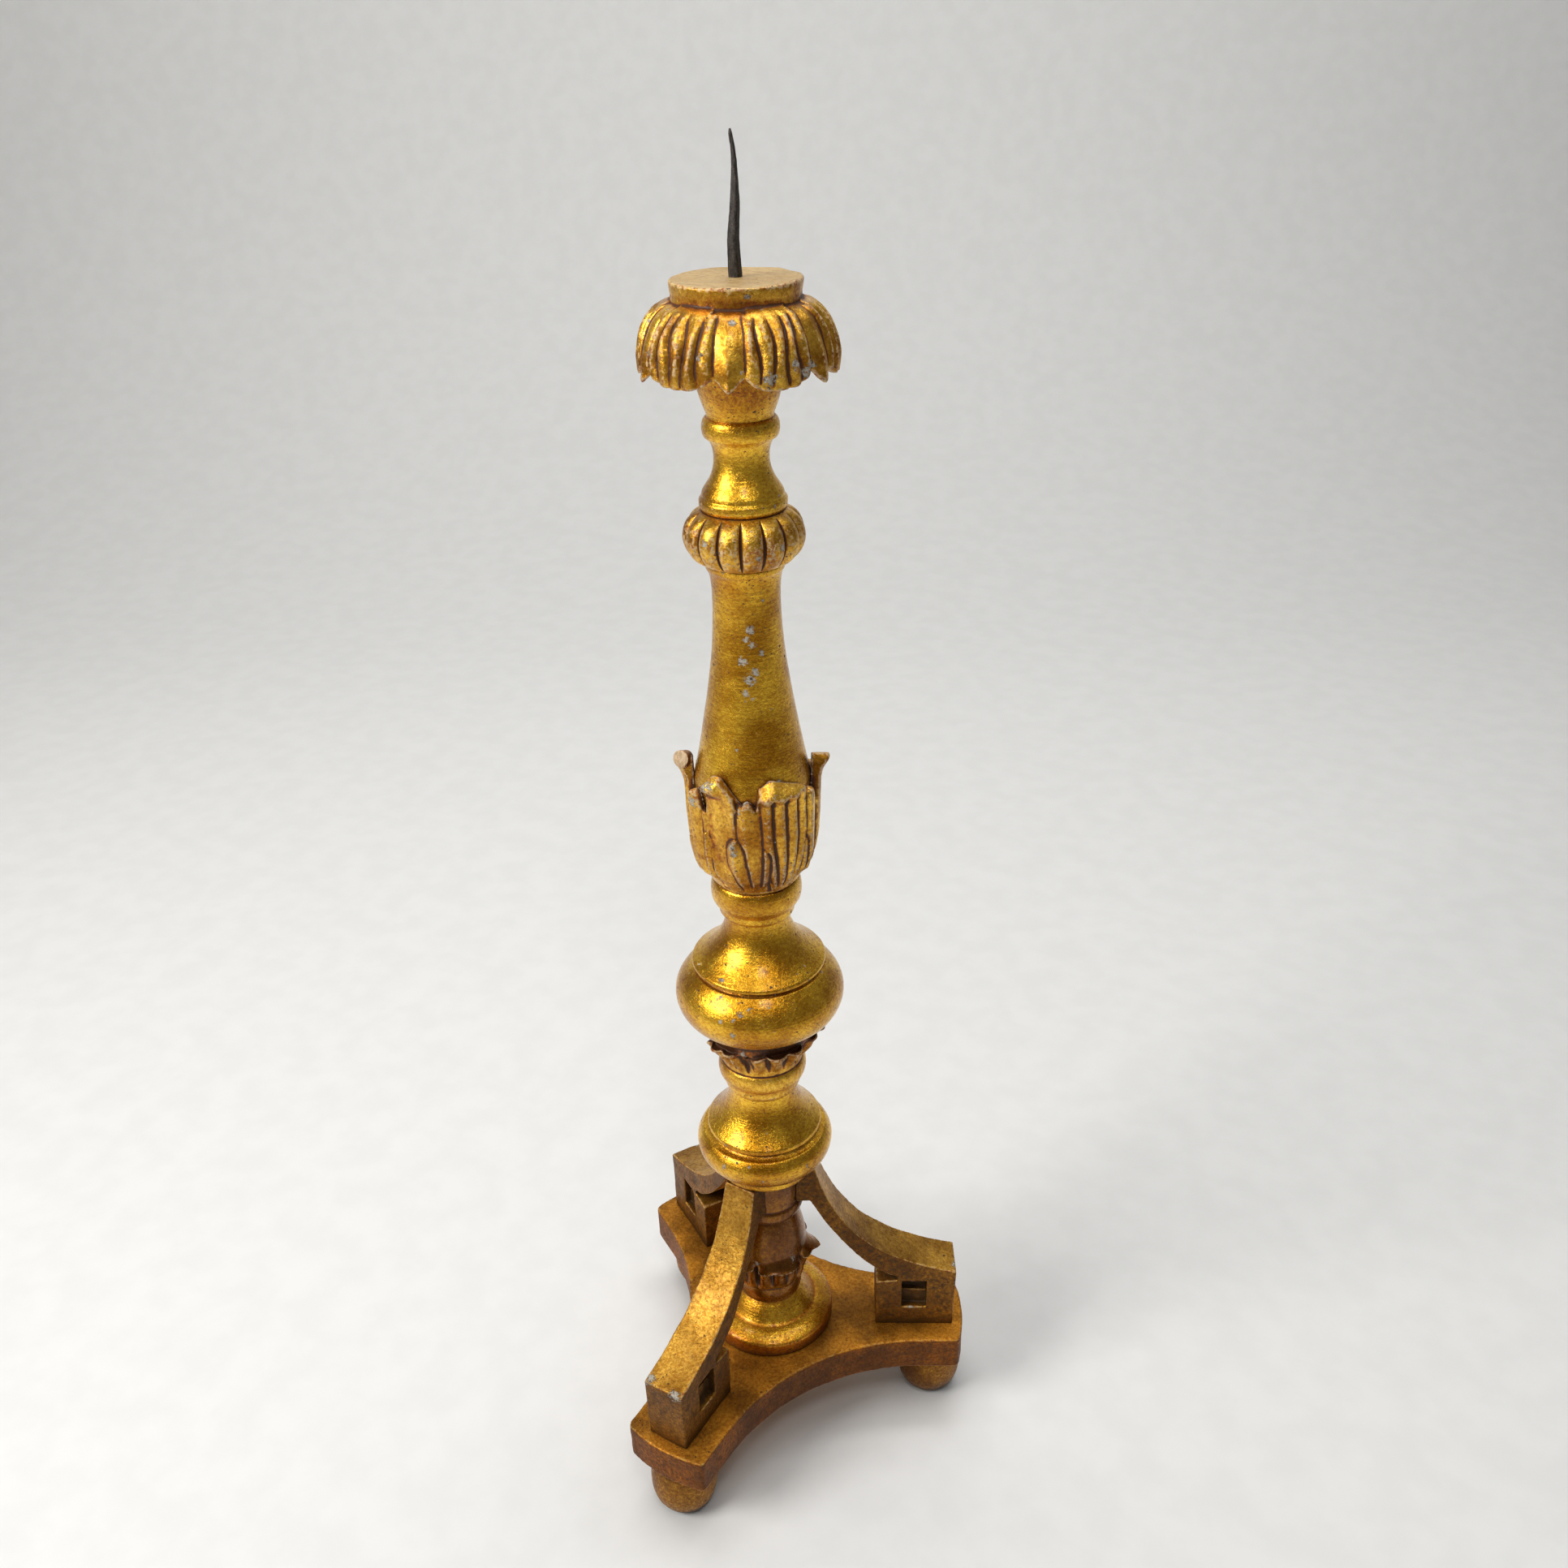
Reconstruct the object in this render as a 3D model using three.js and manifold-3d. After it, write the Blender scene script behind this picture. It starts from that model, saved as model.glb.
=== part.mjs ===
// A carved and gilded wooden torchere: a tripod base on bun feet, a turned and carved column,
// and a leafed drip pan with an iron pricket. Millimetres, +Z up, floor at Z = 0.
import * as THREE from "three";
import { mergeVertices } from "three/addons/utils/BufferGeometryUtils.js";
import Module from "manifold-3d";

const wasm = await Module();
wasm.setup();

// ---------------------------------------------------------------- driving dimensions

const fit = 0.3; // gap at every glued seat and round every tenon
const tenonPlay = 1.5; // spare depth at the blind end of a tenon
const fewestSides = 14; // facets of the smallest bores

// Base plate: three arms joined by hollow sides
const plateThickness = 38.5;
const armReach = 206; // from the column's axis to the bowed end of an arm
const armHalfWidth = 45.5;
const armEndBow = 6;
const wornCorner = 10; // the corners of the arms' ends, rounded by wear
const crispCorner = 3; // the one corner that is still sharp
const plateWaist = 88; // from the axis to the middle of a hollow side
const plateArris = 1.5;

// Bun feet
const footHeight = 68;
const footRadius = 33.5;
const footTopRadius = 26;
const footSoleRadius = 13;
const footInset = 34.5; // from the arm's end to the foot's middle
const footTenonRadius = 9;
const footTenonLength = 20;

// Scroll legs: a square block with a sunk eye, and a bar that sweeps up to the column
const legBlockInset = 12.7; // from the arm's end to the block's outer face
const legBlockLength = 80.7;
const legBlockHeight = 73.5;
const legBlockBatter = 2.5; // the outer face leans out by this much
const legHalfWidth = 21.7;
const legHeadHalfWidth = 16.7;
const legHeadOuter = 49.5; // under the bulb's fillet
const legHeadHeight = 41.5;
const legBarPull = 37.5; // how far the bar's underside holds its slope below the head
const kerfLength = 22.4;
const kerfHeight = 5.5;
const kerfDrop = 12; // from the block's top to the kerf's sill
const kerfSlope = 2;
const legArris = 1.2;
const eyeSize = 26;
const eyeHeight = 37;
const eyeInset = 26.9; // from the block's inner face
const eyeSill = 23.5;
const eyeDepth = 15;

// Pegs of the legs
const basePegRadius = 5;
const basePegLength = 34;
const basePegInset = 13.4; // from the block's inner face to the peg's middle
const headPegRadius = 4;
const headPegLength = 32;
const headPegStart = 16;

// Foot disc under the column
const discRadius = 66;
const discRim = 16;
const discHeight = 40;
const discNeckRadius = 32;

// Lower stem: bead, leafed swelling, ring and drum
const stemTenonRadius = 15;
const stemTenonLength = 20;
const beadRadius = 34;
const beadHeight = 21;
const swellRadius = 39.5;
const swellBase = 31;
const swellHeight = 90;
const swellNeck = 28.5;
const stemLipRadius = 45; // the rim of the rolled leaves round the swelling's foot
const stemLipHeight = 58;
const stemLeafTop = 67; // where the leaves leave the swelling
const stemLeafDip = 8; // their edge sinks by this much between two leaves
const stemLeafReach = 5; // and stands out by this much more at a leaf's tip
const ringRadius = 37;
const ringHeight = 16;
const drumRadius = 34.5;
const drumHeight = 43.5;

// Lower bulb
const lowerFilletRadius = 50;
const lowerFilletHeight = 12.5;
const lowerBulbRadius = 67;
const lowerBulbBelly = 21.5;
const lowerBulbShoulder = 17.5;
const lowerShoulderRadius = 55.6;
const lowerShoulderStep = 6;
const lowerNeckRadius = 33;
const lowerNeckRise = 43;

// Leaf cup under the upper bulb
const cupFilletRadius = 36.5;
const cupFilletHeight = 5;
const cupRingRadius = 41.7;
const cupRingHeight = 21;
const cupBodyRadius = 38.5;
const cupLipRadius = 59; // the rim of the rolled leaves round the cup
const cupLipHeight = 71;
const cupLeafDip = 6;
const cupRecessRadius = 52.5;
const cupMouthRadius = 56;
const cupMouthFillet = 6;
const cupHeight = 86;

// Upper bulb
const upperBulbRadius = 79.4;
const upperBulbFoot = 57;
const upperBulbBelly = 27.5;
const upperBulbShoulder = 31;
const upperShoulderRadius = 61.7;
const upperShoulderStep = 5;
const upperNeckRadius = 29.5;
const upperNeckRise = 48;

// Collar ring under the calyx
const collarRadius = 41.5;
const collarHeight = 42;
const collarFilletRadius = 34.5;

// Leaf calyx
const calyxFoot = 41;
const calyxRadius = 59;
const calyxBelly = 36;
const calyxHeight = 116;
const calyxFloor = 12;
const calyxMouthPlay = 0.6; // the leaves lie close round the shaft's belly
const calyxCurl = 8;
const calyxTurn = -3; // the carver set the leaves out a little off the legs
const smallLeafHeight = 99;
const leafNotchHeight = 86;
const calyxRibs = 5;
const calyxRibDepth = 2.2;

// Main shaft
const shaftSeatRadius = 40;
const shaftBellyRadius = 51;
const shaftBellyHeight = 88;
const shaftNeckRadius = 28.3;
const shaftNeckHeight = 250;
const shaftTopRadius = 33.5;
const shaftHeight = 282;

// Gadrooned knop
const knopRadius = 50;
const knopHeight = 43.5;
const knopLobes = 15;
const knopTurn = -49; // azimuth of a lobe's middle
const knopGroove = 4;

// Vase over the knop
const vaseFootRadius = 35.7;
const vaseFootHeight = 10;
const vaseBodyRadius = 33.5;
const vaseNeckRadius = 22.3;
const vaseNeckHeight = 42;
const vaseHeight = 57;
const vaseLipRadius = 27;

// Ring and cup under the pan
const neckRingRadius = 30.8;
const neckRingHeight = 16;
const panCupRadius = 26.6;
const panCupMouth = 39;
const panCupHeight = 69;

// Leafed drip pan
const panTopRadius = 51;
const panWaistRadius = 49.3;
const panCollarHeight = 14.6;
const skirtRadius = 78.4;
const skirtDrop = 53.5;
const skirtWall = 4.5;
const skirtBelly = 9; // widest place above the lip
const panSeatHeight = 19; // cup's top above the skirt's lip
const skirtTurn = -3.5;
const broadLeafRibs = 5;
const skirtGroove = 3.2;
const leafScallop = 12;

// Turned tenons and the iron pricket
const tenonRadius = 13;
const tenonLength = 22;
const upperTenonRadius = 11;
const panTenonRadius = 17;
const panTenonLength = 16;
const spikeSide = 8.6;
const spikeTipSide = 2.4;
const spikeHeight = 101;
const spikeTangLength = 52;
const spikeTangSide = 5;
const spikeTwist = -3;
const spikeLean = 1.7;
const spikeLeanWay = 33; // azimuth of its lean

// ---------------------------------------------------------------- places on the axis

const legCount = 3;
const leafCount = 6;
const leafPitch = 360 / leafCount;
const frontLeg = -90; // azimuth of the first leg, in degrees
const columnLeaf = frontLeg + 51; // azimuth of a leaf of the stem and the cup
const leafFluteDepth = 1.8;
const leafNotchDepth = 2;
const plateBase = footHeight + fit;
const plateTop = plateBase + plateThickness;
const discBase = plateTop + fit;
const stemBase = discBase + discHeight + fit;
const stemHeight = beadHeight + swellHeight + ringHeight + drumHeight;
const lowerBulbBase = stemBase + stemHeight + fit;
const lowerBulbHeight =
  lowerFilletHeight + lowerBulbBelly + lowerBulbShoulder + lowerShoulderStep + lowerNeckRise;
const cupBase = lowerBulbBase + lowerBulbHeight + fit;
const upperBulbBase = cupBase + cupHeight + fit;
const upperBulbHeight = upperBulbBelly + upperBulbShoulder + upperShoulderStep + upperNeckRise;
const collarBase = upperBulbBase + upperBulbHeight + fit;
const calyxBase = collarBase + collarHeight + fit;
const shaftBase = calyxBase + calyxFloor + fit;
const knopBase = shaftBase + shaftHeight + fit;
const vaseBase = knopBase + knopHeight + fit;
const panCupBase = vaseBase + vaseHeight + fit;
const panSeat = panCupBase + panCupHeight + fit;
const panLip = panSeat - panSeatHeight;
const panTop = panLip + skirtDrop + panCollarHeight;

const legBlockOuter = armReach - legBlockInset;
const legBlockInner = legBlockOuter - legBlockLength;
const footFromAxis = armReach - footInset;
const basePegFromAxis = legBlockInner + basePegInset;

const rad = THREE.MathUtils.degToRad;

// ---------------------------------------------------------------- materials

const metal = { color: 0x4b463e, roughness: 0.62, metalness: 0.85 };
const gilt = { color: 0xb98a2c, roughness: 0.38, metalness: 0.75 };
const oldGilt = { color: 0x8a5a1c, roughness: 0.5, metalness: 0.55 };
const bareWood = { color: 0xb08a5a, roughness: 0.75, metalness: 0 };

function piece(name, geometry, finish) {
  const mesh = new THREE.Mesh(geometry, new THREE.MeshStandardMaterial(finish));
  mesh.name = name;
  return mesh;
}

// ---------------------------------------------------------------- solids and cuts

function toSolid(geometry) {
  const bare = geometry.clone();
  bare.deleteAttribute("normal");
  bare.deleteAttribute("uv");
  const merged = mergeVertices(bare, 1e-3);
  return new wasm.Manifold(
    new wasm.Mesh({
      numProp: 3,
      vertProperties: new Float32Array(merged.attributes.position.array),
      triVerts: new Uint32Array(merged.index.array),
    }),
  );
}

function toGeometry(solid) {
  const mesh = solid.getMesh();
  const geometry = new THREE.BufferGeometry();
  geometry.setAttribute("position", new THREE.BufferAttribute(mesh.vertProperties, 3));
  geometry.setIndex(new THREE.BufferAttribute(mesh.triVerts, 1));
  return geometry;
}

function cut(geometry, ...cutters) {
  const solid = cutters.reduce((left, cutter) => left.subtract(toSolid(cutter)), toSolid(geometry));
  return toGeometry(solid);
}

// Radius of a faceted bore whose flats still clear a round tenon by the fit
function bored(radius) {
  return (radius + fit) / Math.cos(Math.PI / fewestSides);
}

// An upright round bar from low to high
function roundBar(radius, low, high, sides = fewestSides) {
  const bar = new THREE.CylinderGeometry(radius, radius, high - low, sides);
  bar.rotateX(Math.PI / 2);
  bar.translate(0, 0, (low + high) / 2);
  return bar;
}

// ---------------------------------------------------------------- turning and carving

function profile(radius, height) {
  const path = new THREE.Path();
  path.moveTo(radius, height);
  return path;
}

// Quarter of an ellipse from the path's end: it leaves level and arrives upright, or the reverse
function quarterOut(path, radius, height) {
  const from = path.currentPoint.clone();
  const bend = 0.552;
  path.bezierCurveTo(
    from.x + (radius - from.x) * bend,
    from.y,
    radius,
    height + (from.y - height) * bend,
    radius,
    height,
  );
}

function quarterIn(path, radius, height) {
  const from = path.currentPoint.clone();
  const bend = 0.552;
  path.bezierCurveTo(
    from.x,
    from.y + (height - from.y) * bend,
    radius + (from.x - radius) * bend,
    height,
    radius,
    height,
  );
}

// A half-round bead from the path's end up to the given height
function bead(path, crown, radius, height) {
  const from = path.currentPoint.clone();
  const middle = (from.y + height) / 2;
  quarterOut(path, crown, middle);
  quarterIn(path, radius, height);
}

function turned(path, segments, steps = 4) {
  const geometry = new THREE.LatheGeometry(path.getPoints(steps), segments);
  geometry.rotateX(Math.PI / 2);
  return geometry;
}

// Moves every point of a turned blank: shape(azimuth in degrees, radius, height) gives the new two
function carve(geometry, shape) {
  const points = geometry.attributes.position;
  for (let i = 0; i < points.count; i += 1) {
    const x = points.getX(i);
    const y = points.getY(i);
    const radius = Math.hypot(x, y);
    if (radius < 1e-6) continue;
    const azimuth = THREE.MathUtils.radToDeg(Math.atan2(y, x));
    const [newRadius, newHeight] = shape(azimuth, radius, points.getZ(i));
    const scale = newRadius / radius;
    points.setXYZ(i, x * scale, y * scale, newHeight);
  }
  return geometry;
}

// Degrees from the middle of the nearest leaf, with the leaves at start, start + pitch and so on
function fromLeaf(azimuth, start, pitch) {
  const turns = (azimuth - start) / pitch;
  return (turns - Math.round(turns)) * pitch;
}

const smooth = THREE.MathUtils.smoothstep;
const mix = THREE.MathUtils.lerp;

// Depth of the hollow flutes across a leaf's face, and of the notch beside it
function leafFlute(off) {
  const flute = 1 - Math.abs(Math.cos(off * 1.5 * Math.PI));
  return leafFluteDepth * flute + leafNotchDepth * smooth(Math.abs(off), 0.85, 1);
}

// ---------------------------------------------------------------- base

function basePlate() {
  const spread = rad(360 / legCount / 2);
  const hollowCentre = (plateWaist - armHalfWidth) / (1 - Math.sin(spread));
  const hollowRadius = hollowCentre - plateWaist;
  const corner = armReach - armEndBow;
  const shape = new THREE.Shape();
  for (let k = 0; k < legCount; k += 1) {
    const turn = rad(frontLeg + (k * 360) / legCount);
    const at = (along, across) => [
      along * Math.cos(turn) - across * Math.sin(turn),
      along * Math.sin(turn) + across * Math.cos(turn),
    ];
    const start = at(hollowCentre * Math.cos(spread), -armHalfWidth);
    const near = wornCorner;
    const far = k === 0 ? crispCorner : wornCorner;
    if (k === 0) shape.moveTo(...start);
    shape.lineTo(...at(corner - near, -armHalfWidth));
    shape.quadraticCurveTo(...at(corner, -armHalfWidth), ...at(corner + 1, near - armHalfWidth));
    shape.quadraticCurveTo(...at(armReach + armEndBow - 1, 0), ...at(corner + 1, armHalfWidth - far));
    shape.quadraticCurveTo(...at(corner, armHalfWidth), ...at(corner - far, armHalfWidth));
    const hollow = turn + spread;
    shape.absarc(
      hollowCentre * Math.cos(hollow),
      hollowCentre * Math.sin(hollow),
      hollowRadius,
      turn - Math.PI / 2,
      turn - Math.PI / 2 - (Math.PI - 2 * spread),
      true,
    );
  }
  const plate = new THREE.ExtrudeGeometry(shape, {
    depth: plateThickness - 2 * plateArris,
    bevelThickness: plateArris,
    bevelSize: plateArris,
    bevelOffset: -plateArris,
    bevelSegments: 1,
    curveSegments: 4,
  });
  plate.translate(0, 0, plateArris);
  const holes = [roundBar(bored(stemTenonRadius), -1, plateThickness + 1)];
  for (let k = 0; k < legCount; k += 1) {
    const turn = rad(frontLeg + (k * 360) / legCount);
    const foot = roundBar(bored(footTenonRadius), -1, footTenonLength + tenonPlay - fit);
    foot.translate(footFromAxis * Math.cos(turn), footFromAxis * Math.sin(turn), 0);
    const pegDepth = basePegLength / 2 + tenonPlay;
    const peg = roundBar(bored(basePegRadius), plateThickness - pegDepth, plateThickness + 1);
    peg.translate(basePegFromAxis * Math.cos(turn), basePegFromAxis * Math.sin(turn), 0);
    holes.push(foot, peg);
  }
  const mesh = piece("base_plate", cut(plate, ...holes), oldGilt);
  mesh.position.z = plateBase;
  return mesh;
}

// Bun foot with its round tenon, from the floor up
function bunFoot(name) {
  const widest = footHeight * 0.5;
  const path = profile(0, 0);
  path.lineTo(footSoleRadius, 0);
  quarterOut(path, footRadius, widest);
  quarterIn(path, footTopRadius, footHeight);
  path.lineTo(footTenonRadius, footHeight);
  path.lineTo(footTenonRadius, footHeight + footTenonLength);
  path.lineTo(0, footHeight + footTenonLength);
  const mesh = piece(name, turned(path, 16, 3), oldGilt);
  mesh.position.x = footFromAxis;
  return mesh;
}

// ---------------------------------------------------------------- legs

function scrollLeg(name) {
  const blockBase = plateTop + fit;
  const blockTop = blockBase + legBlockHeight;
  const headTop = lowerBulbBase - fit;
  const headFoot = headTop - legHeadHeight;
  const kerfEnd = legBlockInner + kerfLength;
  const kerfSill = blockTop - kerfDrop;
  const inward = drumRadius - 6;
  const outline = new THREE.Shape();
  outline.moveTo(legBlockInner, blockBase);
  outline.lineTo(legBlockOuter, blockBase);
  outline.lineTo(legBlockOuter + legBlockBatter, blockTop);
  outline.bezierCurveTo(
    mix(legBlockInner, legBlockOuter, 0.12),
    blockTop + 17,
    legHeadOuter + 23,
    mix(blockTop, headTop, 0.335),
    legHeadOuter,
    headTop,
  );
  outline.lineTo(inward, headTop);
  outline.lineTo(inward, headFoot);
  outline.lineTo(legHeadOuter - 5, headFoot);
  outline.bezierCurveTo(
    legHeadOuter + 14,
    headFoot - legBarPull,
    legBlockInner - 13.5,
    kerfSill + kerfHeight + 12.5,
    kerfEnd,
    kerfSill + kerfHeight,
  );
  outline.lineTo(kerfEnd, kerfSill);
  outline.lineTo(legBlockInner, kerfSill - kerfSlope);
  outline.closePath();
  const leg = new THREE.ExtrudeGeometry(outline, {
    depth: 2 * (legHalfWidth - legArris),
    bevelThickness: legArris,
    bevelSize: legArris,
    bevelOffset: -legArris,
    bevelSegments: 1,
    curveSegments: 9,
  });
  leg.rotateX(Math.PI / 2);
  leg.translate(0, legHalfWidth - legArris, 0);
  const points = leg.attributes.position;
  for (let i = 0; i < points.count; i += 1) {
    const up = THREE.MathUtils.clamp((points.getZ(i) - blockTop) / (headTop - blockTop), 0, 1);
    points.setY(i, points.getY(i) * mix(1, legHeadHalfWidth / legHalfWidth, up));
  }
  const eyeMiddle = legBlockInner + eyeInset + eyeSize / 2;
  const eyeCutters = [-1, 1].map((side) => {
    const eye = new THREE.BoxGeometry(eyeSize, 2 * eyeDepth, eyeHeight);
    eye.translate(eyeMiddle, side * legHalfWidth, blockBase + eyeSill + eyeHeight / 2);
    return eye;
  });
  const drum = roundBar(bored(drumRadius), headFoot - 2, headTop + 2, 40);
  const pegHole = roundBar(
    bored(basePegRadius),
    blockBase - 1,
    blockBase + basePegLength / 2 + tenonPlay,
  );
  pegHole.translate(basePegFromAxis, 0, 0);
  const headHole = headPegBar(bored(headPegRadius), headPegLength + tenonPlay);
  const mesh = piece(name, cut(leg, ...eyeCutters, drum, pegHole, headHole), oldGilt);
  return mesh;
}

// Level peg through the leg's head into the drum
function headPegBar(radius, length) {
  const peg = new THREE.CylinderGeometry(radius, radius, length, fewestSides);
  peg.rotateZ(Math.PI / 2);
  peg.translate(headPegStart + length / 2, 0, lowerBulbBase - legHeadHeight / 2);
  return peg;
}

function basePeg(name) {
  const middle = plateTop + fit / 2;
  const low = middle - basePegLength / 2;
  const peg = roundBar(basePegRadius, low, low + basePegLength);
  peg.translate(basePegFromAxis, 0, 0);
  return piece(name, peg, bareWood);
}

// ---------------------------------------------------------------- column

function footDisc() {
  const rimTop = discRim;
  const bore = bored(stemTenonRadius);
  const path = profile(bore, 0);
  path.lineTo(discRadius, 0);
  path.lineTo(discRadius, rimTop - 2);
  path.lineTo(discRadius - 1.5, rimTop);
  path.quadraticCurveTo(discRadius - 10, rimTop + 5.5, discRadius - 18, rimTop + 6);
  path.bezierCurveTo(
    discNeckRadius + 11,
    rimTop + 7,
    discNeckRadius + 9,
    rimTop + 15,
    discNeckRadius,
    discHeight,
  );
  path.lineTo(bore, discHeight);
  path.lineTo(bore, 0);
  const mesh = piece("foot_disc", turned(path, 26, 3), gilt);
  mesh.position.z = discBase;
  return mesh;
}

function lowerStem() {
  const swellTop = beadHeight + swellHeight;
  const ringTop = swellTop + ringHeight;
  const path = profile(0, -stemTenonLength - discHeight);
  path.lineTo(stemTenonRadius, -stemTenonLength - discHeight);
  path.lineTo(stemTenonRadius, 0);
  path.lineTo(swellBase, 0);
  bead(path, beadRadius, swellBase, beadHeight);
  path.quadraticCurveTo(swellRadius - 1, beadHeight + 8, swellRadius + 0.5, stemLipHeight - 12);
  path.quadraticCurveTo(swellRadius + 2, stemLipHeight - 5, stemLipRadius, stemLipHeight - 2);
  path.lineTo(stemLipRadius + 0.3, stemLipHeight + 1);
  path.lineTo(swellRadius, stemLeafTop);
  path.quadraticCurveTo(swellRadius - 1, swellTop - 24, swellNeck, swellTop);
  bead(path, ringRadius, drumRadius, ringTop);
  path.lineTo(drumRadius, stemHeight);
  path.lineTo(tenonRadius, stemHeight);
  path.lineTo(tenonRadius, stemHeight + tenonLength);
  path.lineTo(0, stemHeight + tenonLength);
  const stem = carve(turned(path, 30, 3), (azimuth, radius, height) => {
    const up = (height - beadHeight) / (stemLeafTop - beadHeight);
    if (up <= 0.02 || up > 1.02 || radius < swellBase - 1) return [radius, height];
    const off = fromLeaf(azimuth, columnLeaf, leafPitch) / (leafPitch / 2);
    const standing = smooth(radius, swellRadius, stemLipRadius);
    const reach = stemLeafReach * standing * (1 - 1.6 * off ** 2);
    return [radius + reach - leafFlute(off) * up, height - stemLeafDip * off ** 2 * up];
  });
  const pegHoles = [];
  for (let k = 0; k < legCount; k += 1) {
    const hole = headPegBar(bored(headPegRadius), headPegLength);
    hole.translate(-tenonPlay, 0, -stemBase);
    hole.rotateZ(rad(frontLeg + (k * 360) / legCount));
    pegHoles.push(hole);
  }
  const mesh = piece("lower_stem", cut(stem, ...pegHoles), gilt);
  mesh.position.z = stemBase;
  return mesh;
}

// Blind mortise drawn from the axis down to the seat at height 0
function mortiseBelow(radius, depth) {
  const path = profile(0, depth + tenonPlay);
  path.lineTo(bored(radius), depth + tenonPlay);
  path.lineTo(bored(radius), 0);
  return path;
}

function mortiseAbove(path, radius, depth, height) {
  path.lineTo(bored(radius), height);
  path.lineTo(bored(radius), height - depth - tenonPlay);
  path.lineTo(0, height - depth - tenonPlay);
}

function lowerBulb() {
  const bellyFoot = lowerFilletHeight;
  const widest = bellyFoot + lowerBulbBelly;
  const groove = widest + lowerBulbShoulder;
  const shoulder = groove + lowerShoulderStep;
  const path = mortiseBelow(tenonRadius, tenonLength);
  path.lineTo(lowerFilletRadius - 1.5, 0);
  path.lineTo(lowerFilletRadius, 2);
  path.lineTo(lowerFilletRadius, bellyFoot);
  quarterOut(path, lowerBulbRadius, widest);
  path.quadraticCurveTo(lowerBulbRadius, groove - 9, lowerShoulderRadius - 1, groove);
  path.lineTo(lowerShoulderRadius, groove + 0.8);
  path.lineTo(lowerShoulderRadius, shoulder);
  path.quadraticCurveTo(lowerNeckRadius, shoulder + 20, lowerNeckRadius, lowerBulbHeight);
  mortiseAbove(path, tenonRadius, tenonLength, lowerBulbHeight);
  const mesh = piece("lower_bulb", turned(path, 24, 3), gilt);
  mesh.position.z = lowerBulbBase;
  return mesh;
}

function tenonBelow(radius, length) {
  const path = profile(0, -length);
  path.lineTo(radius, -length);
  path.lineTo(radius, 0);
  return path;
}

function leafCup() {
  const ringFoot = cupFilletHeight + 8;
  const ringTop = ringFoot + cupRingHeight;
  const path = tenonBelow(tenonRadius, tenonLength);
  path.lineTo(lowerNeckRadius, 0);
  path.lineTo(cupFilletRadius, 4);
  path.lineTo(cupFilletRadius, 4 + cupFilletHeight);
  path.lineTo(cupBodyRadius - 0.5, ringFoot + 1);
  bead(path, cupRingRadius + 1, cupBodyRadius, ringTop);
  path.quadraticCurveTo(cupBodyRadius + 4, ringTop + 9, cupRecessRadius - 2, ringTop + 18);
  path.quadraticCurveTo(cupRecessRadius + 2, ringTop + 26, cupLipRadius, cupLipHeight - 4);
  path.lineTo(cupLipRadius + 0.5, cupLipHeight);
  path.lineTo(cupRecessRadius, cupLipHeight + 4);
  path.lineTo(cupRecessRadius, cupHeight - cupMouthFillet - 3);
  path.lineTo(cupMouthRadius, cupHeight - cupMouthFillet);
  path.lineTo(cupMouthRadius, cupHeight);
  mortiseAbove(path, tenonRadius, tenonLength, cupHeight);
  const cup = carve(turned(path, 36, 3), (azimuth, radius, height) => {
    const up = (height - ringTop) / (cupLipHeight - ringTop);
    if (up <= 0.02 || height > cupLipHeight + 5 || radius < cupBodyRadius - 1) return [radius, height];
    const off = fromLeaf(azimuth, columnLeaf, leafPitch) / (leafPitch / 2);
    const standing = smooth(radius, cupRecessRadius, cupLipRadius);
    return [radius - leafFlute(off) * up - 3 * standing * off ** 2, height - cupLeafDip * off ** 2 * up];
  });
  const mesh = piece("leaf_cup", cup, gilt);
  mesh.position.z = cupBase;
  return mesh;
}

function upperBulb() {
  const groove = upperBulbBelly + upperBulbShoulder;
  const shoulder = groove + upperShoulderStep;
  const path = tenonBelow(tenonRadius, tenonLength);
  path.lineTo(upperBulbFoot, 0);
  quarterOut(path, upperBulbRadius, upperBulbBelly);
  path.quadraticCurveTo(upperBulbRadius, upperBulbBelly + 14, upperShoulderRadius - 1.5, groove);
  path.lineTo(upperShoulderRadius, groove + 0.8);
  path.lineTo(upperShoulderRadius, shoulder);
  path.quadraticCurveTo(upperNeckRadius, shoulder + 22, upperNeckRadius, upperBulbHeight);
  path.lineTo(tenonRadius, upperBulbHeight);
  path.lineTo(tenonRadius, upperBulbHeight + upperTenon());
  path.lineTo(0, upperBulbHeight + upperTenon());
  const mesh = piece("upper_bulb", turned(path, 24, 3), gilt);
  mesh.position.z = upperBulbBase;
  return mesh;
}

// The upper bulb's tenon goes through the collar and the calyx's floor into the shaft
function upperTenon() {
  return shaftBase + tenonLength - collarBase;
}

function collarRing() {
  const bore = bored(tenonRadius);
  const path = profile(bore, 0);
  path.lineTo(upperNeckRadius + 1, 0);
  path.lineTo(collarFilletRadius, 4);
  path.lineTo(collarFilletRadius, 10);
  path.lineTo(collarRadius - 4.5, 14);
  bead(path, collarRadius, collarRadius - 4, collarHeight - 3);
  path.lineTo(collarRadius - 4, collarHeight);
  path.lineTo(bore, collarHeight);
  path.lineTo(bore, 0);
  const mesh = piece("collar_ring", turned(path, 20, 2), gilt);
  mesh.position.z = collarBase;
  return mesh;
}

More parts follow.
